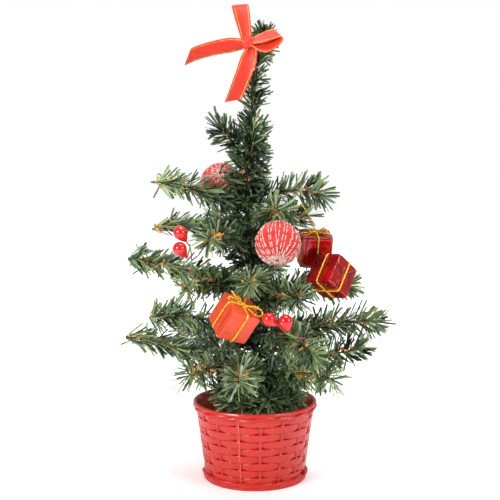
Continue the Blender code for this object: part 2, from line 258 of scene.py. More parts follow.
def cad_centre(node):
    """The middle of a CAD node's box, in millimetres."""
    low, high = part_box(node)
    return np.array((low + high) / 2) / MM


TRUNK_FROM, TRUNK_TO, TRUNK_STEP, SLICE = 8.0, 271.0, 4.0, 3
trunk_corners = cad_points("trunk_wire")
trunk_line = np.array([
    trunk_corners[np.abs(trunk_corners[:, 2] - level) < SLICE].mean(axis=0)
    for level in np.arange(TRUNK_FROM, TRUNK_TO, TRUNK_STEP)
])


def trunk_at(height):
    """The centre of the bent trunk wire at a height, read from the CAD."""
    across = [np.interp(height, trunk_line[:, 2], trunk_line[:, axis]) for axis in (0, 1)]
    return np.array(across + [height])


print("trunk at 150 mm:", trunk_at(150).round(1))

# %% [markdown]
# Every finish is made of nodes, so it needs no pictures and stays sharp close up. Effects that
# several finishes share are node groups: they are wired once, and each material gives them its own
# numbers. A group hands out only colours, masks and heights. The shader itself stays in the
# material.


# %% Helpers for materials
def add(tree, kind, inputs=None, **settings):
    """A node with its settings, whose inputs are numbers or other nodes' outputs."""
    made = tree.nodes.new(kind)
    for key, value in settings.items():
        setattr(made, key, value)
    for key, value in (inputs or {}).items():
        if isinstance(value, bpy.types.NodeSocket):
            tree.links.new(value, made.inputs[key])
        else:
            made.inputs[key].default_value = value
    return made


def sums(tree, operation, first, second, third=0.0):
    """One step of arithmetic between numbers or other nodes' outputs."""
    made = add(tree, "ShaderNodeMath", {0: first, 1: second, 2: third}, operation=operation)
    return made.outputs[0]


def span(tree, value, low=0.0, high=1.0, start=0.0, end=1.0):
    """Stretches value, so that low becomes start and high becomes end."""
    ends = {"Value": value, "From Min": low, "From Max": high, "To Min": start, "To Max": end}
    return add(tree, "ShaderNodeMapRange", ends).outputs[0]


def grain(tree, place, scale, detail):
    """Soft noise, as a number (Fac) and as a colour (Color)."""
    made = add(tree, "ShaderNodeTexNoise", {"Vector": place, "Scale": scale, "Detail": detail})
    return made.outputs


def shades(tree, share, *stops):
    """A colour ramp: each stop is a place from 0 to 1 and a colour."""
    made = add(tree, "ShaderNodeValToRGB", {"Fac": share})
    ramp = made.color_ramp
    while len(ramp.elements) < len(stops):
        ramp.elements.new(0.5)
    for element, (place, colour) in zip(ramp.elements, stops):
        element.position = place
        element.color = (*colour, 1)
    return made.outputs["Color"]


def group(name, inputs, outputs):
    """An empty node group with its sockets, and its two ends."""
    made = bpy.data.node_groups.new(name, "ShaderNodeTree")
    for label, value in inputs.items():
        kind = "NodeSocketFloat" if isinstance(value, float) else "NodeSocketColor"
        made.interface.new_socket(label, in_out="INPUT", socket_type=kind).default_value = value
    for label, kind in outputs.items():
        made.interface.new_socket(label, in_out="OUTPUT", socket_type=kind)
    return made, made.nodes.new("NodeGroupInput").outputs, made.nodes.new("NodeGroupOutput").inputs


def put_out(made, ends, **values):
    """Links what a group has made to the group's own outputs."""
    for key, value in values.items():
        made.links.new(value, ends[key])
    print("group:", made.name)


def use(tree, made, **inputs):
    """A shared effect placed in a material, with this finish's own values."""
    placed = add(tree, "ShaderNodeGroup", node_tree=made)
    for key, value in inputs.items():
        placed.inputs[key].default_value = value
    return placed.outputs


def mixed(tree, share, first, second, how="MIX"):
    """Two colours mixed by share."""
    made = add(tree, "ShaderNodeMix", data_type="RGBA", blend_type=how)
    for index, value in ((0, share), (6, first), (7, second)):
        if isinstance(value, bpy.types.NodeSocket):
            tree.links.new(value, made.inputs[index])
        else:
            made.inputs[index].default_value = value
    return made.outputs[2]


def finish(name, **constants):
    """A material whose constant values are set on the shader's own sockets."""
    made = bpy.data.materials.new(name)
    made.use_nodes = True
    shader = made.node_tree.nodes["Principled BSDF"]
    for key, value in constants.items():
        shader.inputs[key.replace("_", " ")].default_value = value
    return made, made.node_tree, shader


def feed(tree, shader, colour, roughness, height, relief, strength=1.0):
    """Links a finish to its shader. relief is how many metres deep the height goes."""
    bump = {"Height": height, "Distance": relief, "Strength": strength}
    normal = add(tree, "ShaderNodeBump", bump).outputs["Normal"]
    for key, output in {"Base Color": colour, "Roughness": roughness, "Normal": normal}.items():
        tree.links.new(output, shader.inputs[key])


# %% [markdown]
# Handling leaves the same marks on every smooth thing here: soft smudges that dull the gloss, and
# a faint unevenness from the mould or the hand. One group makes both from two sizes of noise.

# %% Shared effect: handling marks
FINER = 12.0
GRIT_SHARE = 0.35
marks, marks_in, marks_out = group(
    "handling_marks",
    {"Size": 90.0, "Dull": 0.3, "Spread": 0.12},
    {"Mask": "NodeSocketFloat", "Roughness": "NodeSocketFloat", "Height": "NodeSocketFloat"},
)
place = add(marks, "ShaderNodeTexCoord").outputs["Object"]
cloud = grain(marks, place, marks_in["Size"], 4.0)["Fac"]
grit = grain(marks, place, sums(marks, "MULTIPLY", marks_in["Size"], FINER), 2.0)["Fac"]
mask = span(marks, cloud, 0.35, 0.7)
put_out(
    marks, marks_out, Mask=mask,
    Roughness=sums(marks, "MULTIPLY_ADD", mask, marks_in["Spread"], marks_in["Dull"]),
    Height=sums(marks, "MULTIPLY_ADD", grit, GRIT_SHARE, cloud),
)

# %% [markdown]
# Needles and bark are strips cut from coloured film. Each copied strip carries its own tone, which
# already holds painted shade: needle strips near the trunk are darker. So the group only has to turn
# that number into a colour, make some strips cooler and duller than others, fade each a little
# towards its cut end, and add the fine unevenness of drawn film.

# %% Shared effect: coloured film
PATCHY = 0.24
COOL_FROM, COOL_FULL = 0.62, 0.8
film, film_in, film_out = group(
    "coloured_film",
    {"Deep": (0.01, 0.03, 0.015, 1), "Body": (0.06, 0.14, 0.05, 1), "Pale": (0.25, 0.36, 0.2, 1),
     "Cool": (1.0, 1.0, 1.0, 1), "Dull": 0.36},
    {"Color": "NodeSocketColor", "Roughness": "NodeSocketFloat", "Height": "NodeSocketFloat"},
)
strip = add(film, "ShaderNodeAttribute", attribute_name="film")
parts = add(film, "ShaderNodeSeparateXYZ", {"Vector": strip.outputs["Vector"]}).outputs
place = add(film, "ShaderNodeTexCoord").outputs["Object"]
patch = grain(film, place, 420.0, 3.0)["Fac"]
own_tone = sums(film, "SUBTRACT", parts["X"], PATCHY / 2)
tone = sums(film, "MULTIPLY_ADD", patch, PATCHY, own_tone)
colour = mixed(film, span(film, tone, 0.0, 0.5), film_in["Deep"], film_in["Body"])
colour = mixed(film, span(film, tone, 0.5, 1.0), colour, film_in["Pale"])
cut_end = span(film, parts["Y"], 0.8, end=0.3)
colour = mixed(film, cut_end, colour, film_in["Pale"])
cool = span(film, parts["Z"], COOL_FROM, COOL_FULL)
put_out(
    film, film_out, Color=mixed(film, cool, colour, film_in["Cool"], "MULTIPLY"),
    Roughness=sums(film, "MULTIPLY_ADD", parts["Z"], 0.2, film_in["Dull"]),
    Height=grain(film, place, 1800.0, 1.0)["Fac"],
)

# %% [markdown]
# Satin thread is wound or woven so close that single threads only show as fine lines. The pattern
# follows the piece's own UV map, which runs round and along it, so the lines keep to the surface.

# %% Shared effect: fine threads
threads, threads_in, threads_out = group(
    "fine_threads",
    {"Lines": 120.0, "Wander": 0.02},
    {"Mask": "NodeSocketFloat", "Height": "NodeSocketFloat"},
)
layout = add(threads, "ShaderNodeUVMap").outputs["UV"]
drift = grain(threads, layout, 9.0, 2.0)["Fac"]
run = add(threads, "ShaderNodeSeparateXYZ", {"Vector": layout}).outputs["X"]
run = sums(threads, "MULTIPLY_ADD", drift, threads_in["Wander"], run)
turn = sums(threads, "MULTIPLY", sums(threads, "MULTIPLY", run, threads_in["Lines"]), math.tau)
ridge = span(threads, sums(threads, "SINE", turn, 0), -1.0)
put_out(threads, threads_out, Mask=grain(threads, layout, 70.0, 3.0)["Fac"], Height=ridge)

# %% [markdown]
# Foil that has been folded round a block keeps flat facets with sharp creases between them. A cell
# pattern gives the facets and their creases, and a soft noise lets the whole sheet billow a
# little. The mask marks the creases, and the red foil uses it for painted shade there.

# %% Shared effect: creased foil
WARP = (0.006, 0.006, 0.006)
CREASE_WIDTH = 0.08
creases, creases_in, creases_out = group(
    "creased_foil", {"Size": 120.0}, {"Mask": "NodeSocketFloat", "Height": "NodeSocketFloat"}
)
place = add(creases, "ShaderNodeTexCoord").outputs["Object"]
bend = grain(creases, place, 60.0, 2.0)
warped = {0: bend["Color"], 1: WARP}
warped = add(creases, "ShaderNodeVectorMath", warped, operation="MULTIPLY").outputs[0]
moved = {0: place, 1: warped}
moved = add(creases, "ShaderNodeVectorMath", moved, operation="ADD").outputs[0]
sized = {"Vector": moved, "Scale": creases_in["Size"]}
cells = add(creases, "ShaderNodeTexVoronoi", sized).outputs["Distance"]
edges = add(creases, "ShaderNodeTexVoronoi", sized, feature="DISTANCE_TO_EDGE")
sharp = span(creases, edges.outputs["Distance"], high=CREASE_WIDTH)
folded = sums(creases, "MULTIPLY_ADD", cells, 0.8, sharp)
billow = sums(creases, "MULTIPLY_ADD", bend["Fac"], 1.5, folded)
put_out(creases, creases_out, Mask=sharp, Height=billow)

# %% [markdown]
# The finishes. The pot is one glossy moulding of one red, and the attribute "depth" paints light
# and shade into its colour: painted shade in the gaps of the weave, painted light on the inner wall
# and a painted highlight on the mould seam. Needles and bark share one kind of film in two colours.
# The satin, foil and metal thread get their life from fine relief, and the red foil also has painted
# shade in its creases.

# %% Finishes made of the shared effects
def marked(name, stops, size, dull, spread, relief, **constants):
    """A finish whose colour, gloss and relief all come from the handling marks."""
    made, tree, shader = finish(name, **constants)
    seen = use(tree, marks, Size=size, Dull=dull, Spread=spread)
    colour = shades(tree, seen["Mask"], *stops)
    feed(tree, shader, colour, seen["Roughness"], seen["Height"], relief)
    return made


def of_film(name, **values):
    """A finish of coloured film, for needles or bark."""
    made, tree, shader = finish(name, IOR=1.5)
    seen = use(tree, film, **values)
    feed(tree, shader, seen["Color"], seen["Roughness"], seen["Height"], 0.00003)
    return made


def of_thread(name, stops, lines, wander, spread, dull, relief, strength, **constants):
    """A finish of satin thread, whose gloss changes from thread to thread."""
    made, tree, shader = finish(name, **constants)
    seen = use(tree, threads, Lines=lines, Wander=wander)
    colour = shades(tree, seen["Mask"], *stops)
    roughness = sums(tree, "MULTIPLY_ADD", seen["Mask"], spread, dull)
    feed(tree, shader, colour, roughness, seen["Height"], relief, strength)
    return made


def of_foil(name, stops, size, dull, relief, painted_crease_shade, **constants):
    """A finish of creased foil. Its colour is painted shade in the creases, or only handling marks.
    """
    made, tree, shader = finish(name, **constants)
    folds = use(tree, creases, Size=size)
    seen = use(tree, marks, Size=160.0, Dull=dull, Spread=0.12)
    colour = shades(tree, (folds if painted_crease_shade else seen)["Mask"], *stops)
    feed(tree, shader, colour, seen["Roughness"], folds["Height"], relief)
    return made


# %% Finishes: pot, plaster and wire
pot_red, tree, shader = finish("pot_plastic", Coat_Weight=0.25, Coat_Roughness=0.1, IOR=1.42)
seen = use(tree, marks, Size=70.0, Dull=0.2, Spread=0.14)
depth = add(tree, "ShaderNodeAttribute", attribute_name="depth").outputs["Fac"]
# Painted light and shade: dark red deep in the weave's gaps, lighter red on the inner wall, and the
# lightest on the mould seam as a painted highlight.
colour = shades(
    tree, depth,
    (0.0, (0.13, 0.003, 0.004)), (0.35, (0.42, 0.012, 0.010)), (0.7, (0.64, 0.03, 0.02)),
    (0.8, (0.66, 0.034, 0.024)), (1.0, (0.95, 0.14, 0.045)),
)
feed(tree, shader, colour, seen["Roughness"], seen["Height"], 0.00008)

plaster_white = marked(
    "plaster", [(0.0, (0.72, 0.68, 0.6)), (1.0, (0.5, 0.46, 0.4))],
    size=140.0, dull=0.8, spread=0.12, relief=0.0006, IOR=1.45,
)
wire_dark = marked(
    "dark_wire", [(0.0, (0.05, 0.06, 0.045)), (1.0, (0.12, 0.1, 0.07))],
    size=300.0, dull=0.35, spread=0.25, relief=0.00005, Metallic=0.7,
)

# %% Finishes: needles and bark
needle_green = of_film(
    "needle_film", Deep=(0.006, 0.011, 0.007, 1), Body=(0.062, 0.115, 0.038, 1),
    Pale=(0.44, 0.58, 0.25, 1), Cool=(0.95, 1.0, 1.45, 1), Dull=0.26,
)
bark_tan = of_film(
    "bark_film", Deep=(0.24, 0.06, 0.01, 1), Body=(0.85, 0.33, 0.035, 1),
    Pale=(1.0, 0.58, 0.18, 1), Dull=0.4,
)

# %% Finishes: ribbon and thread
satin = of_thread(
    "red_satin", [(0.3, (0.8, 0.018, 0.004)), (0.7, (0.95, 0.042, 0.012))],
    lines=46.0, wander=0.01, spread=0.16, dull=0.26, relief=0.00006, strength=0.6,
    Sheen_Weight=0.08, Sheen_Roughness=0.3, Specular_IOR_Level=0.7,
)
gold_thread = marked(
    "gold_thread",
    [(0.0, (0.75, 0.36, 0.02)), (0.5, (1.0, 0.68, 0.05)), (1.0, (1.0, 0.85, 0.25))],
    size=900.0, dull=0.25, spread=0.25, relief=0.0002, Metallic=0.6,
)
ball_red = of_thread(
    "ball_satin", [(0.3, (0.72, 0.008, 0.008)), (0.72, (0.9, 0.03, 0.024))],
    lines=132.0, wander=0.012, spread=0.2, dull=0.3, relief=0.0002, strength=0.8,
    Sheen_Weight=0.05, Sheen_Roughness=0.35,
)
ball_white = marked(
    "ball_white_thread",
    [(0.25, (0.95, 0.9, 0.84)), (0.7, (0.86, 0.62, 0.5)), (1.0, (0.6, 0.5, 0.3))],
    size=1400.0, dull=0.3, spread=0.3, relief=0.0003, Sheen_Weight=0.3,
)

# %% Finishes: foil, cord and berries
foil_orange = of_foil(
    "orange_red_foil", [(0.0, (0.86, 0.07, 0.02)), (1.0, (0.92, 0.11, 0.04))],
    size=70.0, dull=0.34, relief=0.00008, painted_crease_shade=False,
    Metallic=0.3, Coat_Weight=0.3, Coat_Roughness=0.3,
)
# Painted shade: the red foil is darker along its creases.
foil_red = of_foil(
    "red_foil", [(0.0, (0.22, 0.005, 0.006)), (1.0, (0.62, 0.010, 0.012))],
    size=75.0, dull=0.1, relief=0.0003, painted_crease_shade=True,
    Metallic=0.7, Coat_Weight=0.8, Coat_Roughness=0.08,
)
berry_gloss = marked(
    "berry_red", [(0.0, (0.76, 0.008, 0.008)), (1.0, (0.84, 0.014, 0.014))],
    size=120.0, dull=0.16, spread=0.06, relief=0.00001,
    Coat_Weight=1.0, Coat_Roughness=0.03, IOR=1.4,
)

stem_thread, tree, shader = finish("berry_stem_thread", Sheen_Weight=0.2)
place = add(tree, "ShaderNodeTexCoord").outputs["Object"]
rings = {"Vector": place, "Scale": 40.0, "Distortion": 2.0}
rings = add(tree, "ShaderNodeTexWave", rings, bands_direction="Z").outputs["Fac"]
colour = shades(
    tree, rings, (0.3, (0.1, 0.5, 0.04)), (0.5, (0.12, 0.42, 0.05)), (0.62, (0.6, 0.03, 0.06))
)
seen = use(tree, marks, Size=900.0, Dull=0.5, Spread=0.2)
feed(tree, shader, colour, seen["Roughness"], seen["Height"], 0.0002)
print("finishes:", len(bpy.data.materials))

# %% [markdown]
# The pot is one moulding that imitates a woven basket: sixteen upright stakes and nine flat bands
# that pass over every second one. A cylinder is cut into a grid whose columns crowd round the
# stakes and whose rows crowd at the bands' edges, and each point is then moved out or in as the
# weave says. The same could be done by a displacement modifier, but the gaps between bands would
# come out ragged.

# %% Pot: the woven wall
STAKES = 16
BANDS = 9
FOOT_RADIUS = 30.4
MOUTH_RADIUS = 37.4
POT_HEIGHT = 49.3
INNER_DEPTH = 1.75
MOULD_TURN = -0.94
POT_FLOOR = 1.8
WEAVE_LOW = 3.4
WEAVE_HIGH = 45.2
STAKE_TURN = math.radians(-84.6)
STAKE_SPOTS = np.array([
    -0.5, -0.4, -0.31, -0.23, -0.16, -0.1, -0.066, -0.05, 0, 0.05, 0.066, 0.1, 0.16, 0.23, 0.31, 0.4
])
BAND_SPOTS = np.array([0.015, 0.07, 0.14, 0.28, 0.5, 0.72, 0.86, 0.93, 0.985])
BAND_PROUD = 0.45
BAND_DIP = 1.05
OVER_GROOVE = 0.22
UNDER_GROOVE = 0.5
STAKE_PROUD = 0.18


def wall_radius(height):
    """The pot's radius before it is woven."""
    return FOOT_RADIUS + (MOUTH_RADIUS - FOOT_RADIUS) * height / POT_HEIGHT


def weave(turn, level):
    """How far the wall stands out. turn counts stakes and level counts bands."""
    band = math.floor(level)
    over = math.cos(math.pi * (turn + band))
    edge = abs(2 * (level - band) - 1)
    under = max(0.0, -over) ** 1.4
    hoop = BAND_PROUD - BAND_DIP * under - OVER_GROOVE * max(0.0, (edge - 0.72) / 0.28) ** 2
    hoop -= UNDER_GROOVE * max(0.0, -over) ** 0.5 * max(0.0, (edge - 0.66) / 0.34)
    off = abs(turn - round(turn))
    stake = STAKE_PROUD - 40 * max(0.0, off - 0.052)
    return max(hoop, stake)


turns = np.array([stake + spot for stake in range(STAKES) for spot in STAKE_SPOTS])
levels = [band + spot for band in range(BANDS) for spot in BAND_SPOTS]
levels = np.array([0.0] + levels + [float(BANDS)])
only()
bpy.ops.mesh.primitive_cylinder_add(
    vertices=len(turns), radius=1, depth=1, end_fill_type="NOTHING", location=(0, 0, 0.5)
)
pot = settle(bpy.context.object)
edit(pot, "EDGE")
pick(pot, "EDGE", lambda middle, way: abs(way.z) > 0.9)
bpy.ops.mesh.subdivide(number_cuts=len(levels) - 2)
bpy.ops.object.mode_set(mode="OBJECT")
for vertex in pot.data.vertices:
    column = round(math.atan2(vertex.co.y, vertex.co.x) / math.tau * len(turns)) % len(turns)
    row = round(vertex.co.z * (len(levels) - 1))
    share = levels[row] / BANDS
    height = WEAVE_LOW + (WEAVE_HIGH - WEAVE_LOW) * share
    proud = weave(turns[column], min(levels[row], BANDS - 1e-6))
    angle = STAKE_TURN + math.tau * turns[column] / STAKES
    radius = wall_radius(height) + proud
    vertex.co = (radius * math.cos(angle) * MM, radius * math.sin(angle) * MM, height * MM)
print("woven wall:", len(pot.data.polygons), "faces")

# %% Pot: lip, inner wall, floor and underside
FOOT_RINGS = ((31.6, 2.9), (32.3, 2.3), (32.3, 0.5), (31.8, 0.0), (29.0, 0.0), (28.4, 0.6))
LIP_RINGS = (
    (37.6, 46.4), (38.5, 47.2), (38.9, 48.3), (38.5, 49.1), (37.7, 49.3), (36.9, 48.9),
    (36.0, 47.0), (34.6, 44.0),
)
MIDDLE = 0.5


def pull_ring(radius, height):
    """Extrudes the picked ring of edges to a new radius and height, in millimetres."""
    bpy.ops.mesh.extrude_edges_move()
    bm = bmesh.from_edit_mesh(pot.data)
    for vertex in bm.verts:
        if vertex.select:
            flat = Vector((vertex.co.x, vertex.co.y, 0)).normalized() * radius * MM
            vertex.co = (flat.x, flat.y, height * MM)
    bmesh.update_edit_mesh(pot.data)


edit(pot, "EDGE")
pick(pot, "EDGE", lambda middle, way: middle.z < (WEAVE_LOW + 0.01) * MM and abs(way.z) < 0.1)
for radius, height in FOOT_RINGS:
    pull_ring(radius, height)
pull_ring(MIDDLE, FOOT_RINGS[-1][1])
bpy.ops.mesh.merge(type="CENTER")
pick(pot, "EDGE", lambda middle, way: middle.z > (WEAVE_HIGH - 0.01) * MM and abs(way.z) < 0.1)
for radius, height in LIP_RINGS:
    pull_ring(radius, height)
pull_ring(wall_radius(POT_FLOOR) - INNER_DEPTH, POT_FLOOR)
pull_ring(MIDDLE, POT_FLOOR)
bpy.ops.mesh.merge(type="CENTER")
close_edit(pot)
print("pot shell:", len(pot.data.polygons), "faces")

# %% [markdown]
# Rim and foot are borders of two thick canes laid round each other with a long twist, one crossing
# for each stake. Each cane is a closed tube on a circle whose centre line swings up and out in
# turn. A thin raised line down one side is where the two halves of the mould met. The attribute
# "depth" holds painted light and shade: it runs from 0, painted shade deep in a gap of the weave,
# to CLEAR where the wall is free. Above that the colour grows lighter: painted light on the inner
# wall, which lies in shadow, and most of all a painted highlight on the seam.

# %% Pot: corded rim and foot
SEAM_OUT = 0.22
SEAM_RADIUS = 0.3
# Painted shade in the weave's gaps, darkest at GAP_FLOOR, then painted light on the inner wall and a
# painted highlight on the seam.
GAP_FLOOR = -1.05
GAP_DEPTH = 0.9
INSIDE = -1.5
CLEAR = 0.8
INNER_LIGHT = 0.95
SEAM_LIGHT = 1.0


def border(name, radius, height, swing, thickness):
    """Two canes laid round each other on a circle."""
    canes = []
    for strand in (0, math.pi):
        points = []
        for angle in np.linspace(0, math.tau, 256, endpoint=False):
            turn = STAKES / 2 * angle + strand
            out = radius + swing * math.cos(turn)
            rise = height + swing * math.sin(turn)
            points.append((out * math.cos(angle), out * math.sin(angle), rise))
        canes.append(points)
    return tubes(name, canes, thickness, sides=10, closed=True)


rim = border("pot_rim", radius=37.5, height=45.8, swing=0.66, thickness=0.98)
foot = border("pot_foot", radius=32.0, height=3.4, swing=0.6, thickness=0.95)
seam_points = []
for level in np.linspace(0, BANDS - 0.001, 90):
    height = WEAVE_LOW + (WEAVE_HIGH - WEAVE_LOW) * level / BANDS
    radius = wall_radius(height) + weave(MOULD_TURN, level) + SEAM_OUT
    angle = STAKE_TURN + math.tau * MOULD_TURN / STAKES
    seam_points.append((radius * math.cos(angle), radius * math.sin(angle), height))
seam = tubes("pot_seam", [seam_points], SEAM_RADIUS)
seam_size = len(seam.data.vertices)
pot = joined("basket_pot", pot, rim, foot, seam)
depth = pot.data.attributes.new("depth", "FLOAT", "POINT")
first_of_seam = len(pot.data.vertices) - seam_size
for vertex, value in zip(pot.data.vertices, depth.data):
    height = vertex.co.z / MM
    proud = vertex.co.xy.length / MM - wall_radius(height)
    woven = WEAVE_LOW < height < WEAVE_HIGH and proud > INSIDE
    # Painted shade: the deeper a point lies in a gap of the weave, the darker its colour.
    clear = (proud - GAP_FLOOR) / GAP_DEPTH
    value.value = min(CLEAR, max(0.0, clear)) if woven else CLEAR
    # Painted light: the inner wall, which lies in shadow, gets a lighter colour.
    if height > POT_FLOOR + 1 and proud < INSIDE:
        value.value = INNER_LIGHT
    # Painted highlight: the mould seam gets the lightest colour.
    if vertex.index >= first_of_seam:
        value.value = SEAM_LIGHT
dress(smooth(pot, 35), pot_red)
put_on(pot, "trunk", "pot_plastic", "pot")
print("pot:", len(pot.data.polygons), "faces")

# %% [markdown]
# The plaster in the pot, the twisted trunk wire, the wraps that bind each tier and the hanging
# wires already have their true shape in the CAD, so they stay and only get better finishes.

# %% Plaster, trunk wire, wraps and hanging wires
dress(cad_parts["ballast"], plaster_white)
for name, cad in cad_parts.items():
    if name == "trunk_wire" or name.endswith(("_wrap", "ball_front_wire", "ball_back_wire")):
        dress(cad, wire_dark)
dress(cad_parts["bow_tie_wire"], gold_thread)
print("CAD nodes with a finish:", sum(bool(cad.data.materials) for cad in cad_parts.values()))

# %% [markdown]
# The greenery is thousands of narrow strips of film caught between two twisted wires. One strip is
# modelled once: a thin bar, cut across its middle and narrowed at the foot. Copies are laid along
# each wire in small bunches, as the fringes of the film fall, every one with its own length and
# tone, the tone darkened near the trunk as painted shade, and become one mesh for each branch, so
# that a branch swings as a whole. Particles or instances would look the same, but they would not
# leave a plain mesh behind.

# %% One strip of film
STRIP_WIDTH = 1.2
STRIP_THICK = 0.16
STRIP_FOOT = 0.55
only()
bpy.ops.mesh.primitive_cube_add(size=1, location=(0, 0, 0.5))
strip = settle(bpy.context.object, Matrix.Diagonal((STRIP_WIDTH, STRIP_THICK, 1, 1)))
edit(strip, "EDGE")
pick(strip, "EDGE", lambda middle, way: abs(way.z) > 0.9)
bpy.ops.mesh.subdivide(number_cuts=1)
pick(strip, "VERT", lambda place, normal: place.z < 0.01)
bpy.ops.transform.resize(value=(STRIP_FOOT, 1, 1))
close_edit(strip)
strip_points = np.array([vertex.co for vertex in strip.data.vertices])
strip_faces = np.array([face.vertices for face in strip.data.polygons])
bpy.data.objects.remove(strip)
print("strip:", len(strip_faces), "faces")


# %% Copies of the strip
def strips(foot, way, flat, length, width, curl, tone, rng):
    """Copies of the strip: a foot, a direction and a flat side for each, in millimetres."""
    flat = unit(flat - way * np.sum(flat * way, axis=1, keepdims=True))
    across = np.cross(way, flat)
    x, y, z = strip_points.T
    bow = (curl * length)[:, None] * z**2
    points = (
        foot[:, None]
        + way[:, None] * (z * length[:, None])[..., None]
        + across[:, None] * (x * width[:, None])[..., None]
        + flat[:, None] * (y + bow)[..., None]
    )
    count = len(foot)
    faces = strip_faces[None] + len(strip_points) * np.arange(count)[:, None, None]
    notes = np.empty((count, len(strip_points), 3))
    notes[..., 0] = tone[:, None]
    notes[..., 1] = z
    notes[..., 2] = rng.random(count)[:, None]
    return points.reshape(-1, 3), faces.reshape(-1, 4), notes.reshape(-1, 3)


def strip_mesh(name, batches, finishes):
    """One object from batches of strips: points, faces, notes and the number of their finish."""
    points, faces, notes, slots, count = [], [], [], [], 0
    for (batch_points, batch_faces, batch_notes), slot in batches:
        points.append(batch_points)
        faces.append(batch_faces + count)
        notes.append(batch_notes)
        slots.append(np.full(len(batch_faces), slot))
        count += len(batch_points)
    mesh = bpy.data.meshes.new(name)
    mesh.from_pydata((np.vstack(points) * MM).tolist(), [], np.vstack(faces).tolist())
    film_notes = mesh.attributes.new("film", "FLOAT_VECTOR", "POINT")
    film_notes.data.foreach_set("vector", np.vstack(notes).ravel())
    for material in finishes:
        mesh.materials.append(material)
    mesh.polygons.foreach_set("material_index", np.concatenate(slots).astype(np.int32))
    obj = bpy.data.objects.new(name, mesh)
    bpy.context.scene.collection.objects.link(obj)
    return smooth(obj, 45)


# %% A wire grown over with strips
GOLDEN = math.radians(137.5)
BUNCH = 3
# Painted shade: strip tones rise from the darkest, within DARK_WITHIN millimetres of the trunk where
# the foliage is shaded, to full beyond LIGHT_BEYOND.
DARK_WITHIN = 10.0
LIGHT_BEYOND = 45.0
PAINTED_SHADE_TONE = 0.35
STRAY = 0.06
STRAY_ANGLES = (20, 130)
STEP_TURN = 0.22
FOOT_OUT = 0.5
WIDTHS = (0.55, 1.2)
SIZES = (0.82, 1.08)


def along_route(route, share):
    """Places on a route, given as shares of its length from 0 to 1."""
    spots = np.linspace(0, 1, len(route))
    return np.stack([np.interp(share, spots, route[:, axis]) for axis in range(3)], axis=1)


def grown(route, count, first, lean, reach, rng, tone=0.5, tip=6.0, spread=14.0):
    """Strips in bunches round a route. lean is their angle to the wire in degrees, spread how
    far it strays, and tip the length at the route's end where the strips turn to point outwards."""
    length = np.linalg.norm(np.diff(route, axis=0), axis=1).sum()
    bunches = count // BUNCH
    count = bunches * BUNCH

    def shared(values, scatter):
        return np.repeat(values, BUNCH) + rng.normal(0, scatter, count)

    step = np.tile(np.arange(BUNCH) - (BUNCH - 1) / 2, bunches)
    share = shared(np.sort(rng.uniform(first, 1, bunches)), 0) + step * STRIP_WIDTH / length
    share = np.clip(share + rng.normal(0, 0.3, count) / length, first, 1)
    foot = along_route(route, share)
    forward = unit(along_route(ahead(route), share))
    side_a, side_b = (along_route(side, share) for side in sideways(route))
    turn = shared(np.arange(bunches) * GOLDEN + rng.normal(0, 0.4, bunches), 0.26) + step * STEP_TURN
    side = unit(side_a * np.cos(turn)[:, None] + side_b * np.sin(turn)[:, None])
    angle = shared(rng.normal(0, spread, bunches), 9) + lean
    angle = np.where(rng.random(count) < STRAY, rng.uniform(*STRAY_ANGLES, count), angle)
    near_tip = np.clip((share * length - (length - tip)) / tip, 0, 1)
    least, most = (8, min(lean, 70)) if lean < 100 else (lean - 18, lean + 18)
    angle = np.radians(angle * (1 - near_tip) + near_tip * rng.uniform(least, most, count))[:, None]
    way = unit(forward * np.cos(angle) + side * np.sin(angle))
    foot = foot + side * FOOT_OUT
    roll = shared(rng.normal(0, 0.55, bunches), 0.25)[:, None]
    level = np.cross(forward, side)
    flat = level * np.cos(roll) + np.cross(way, level) * np.sin(roll)
    size = np.repeat(rng.uniform(*SIZES, bunches), BUNCH) * rng.uniform(*SIZES, count) * reach
    width = rng.uniform(*WIDTHS, count)
    curl = shared(rng.normal(0, 0.1, bunches), 0.09)
    # Painted shade: strips near the trunk, inside the shaded foliage, get a darker tone.
    trunk = np.array([trunk_at(height) for height in foot[:, 2]])
    out = np.linalg.norm((foot + way * size[:, None] * 0.5 - trunk)[:, :2], axis=1)
    light = np.clip((out - DARK_WITHIN) / (LIGHT_BEYOND - DARK_WITHIN), 0, 1)
    scatter = shared(rng.normal(0, 0.18, bunches), 0.28)
    shade = tone * (PAINTED_SHADE_TONE + (1 - PAINTED_SHADE_TONE) * light) + scatter
    shade = np.clip(shade, 0.0, 1.0)
    return strips(foot, way, flat, size, width, curl, shade, rng)


def barked(route, count, first, rng):
    """Short tan strips that stand out between the needles, most of them at the tip."""
    share = rng.uniform(first, 0.97, count) ** 0.75
    foot = along_route(route, share)
    side_a, side_b = (along_route(side, share) for side in sideways(route))
    turn = rng.uniform(0, math.tau, count)[:, None]
    side = side_a * np.cos(turn) + side_b * np.sin(turn)
    way = unit(side + along_route(ahead(route), share) * rng.normal(-0.3, 0.6, count)[:, None])
    foot = foot + side * rng.uniform(0.3, 2.2, count)[:, None]
    size = rng.uniform(2.0, 4.0, count)
    return strips(
        foot, way, unit(rng.normal(size=(count, 3))), size, rng.uniform(0.75, 1.3, count),
        rng.normal(0, 0.15, count), rng.uniform(0.35, 1.0, count), rng,
    )


def handled(route, rng):
    """The route with the small bends that it gets from being opened out by hand."""
    side_a, side_b = sideways(route)
    share = np.linspace(0, 1, len(route))[:, None]
    for side in (side_a, side_b):
        most = rng.uniform(0.5, 1.6)
        wave = np.sin(share * rng.uniform(3, 7) + rng.uniform(0, 6))
        sway = most * wave * share * (1.2 - share)
        hook = rng.normal(0, 2.2) * np.clip((share - 0.78) / 0.22, 0, 1) ** 2
        route = route + side * (sway + hook)
    return route


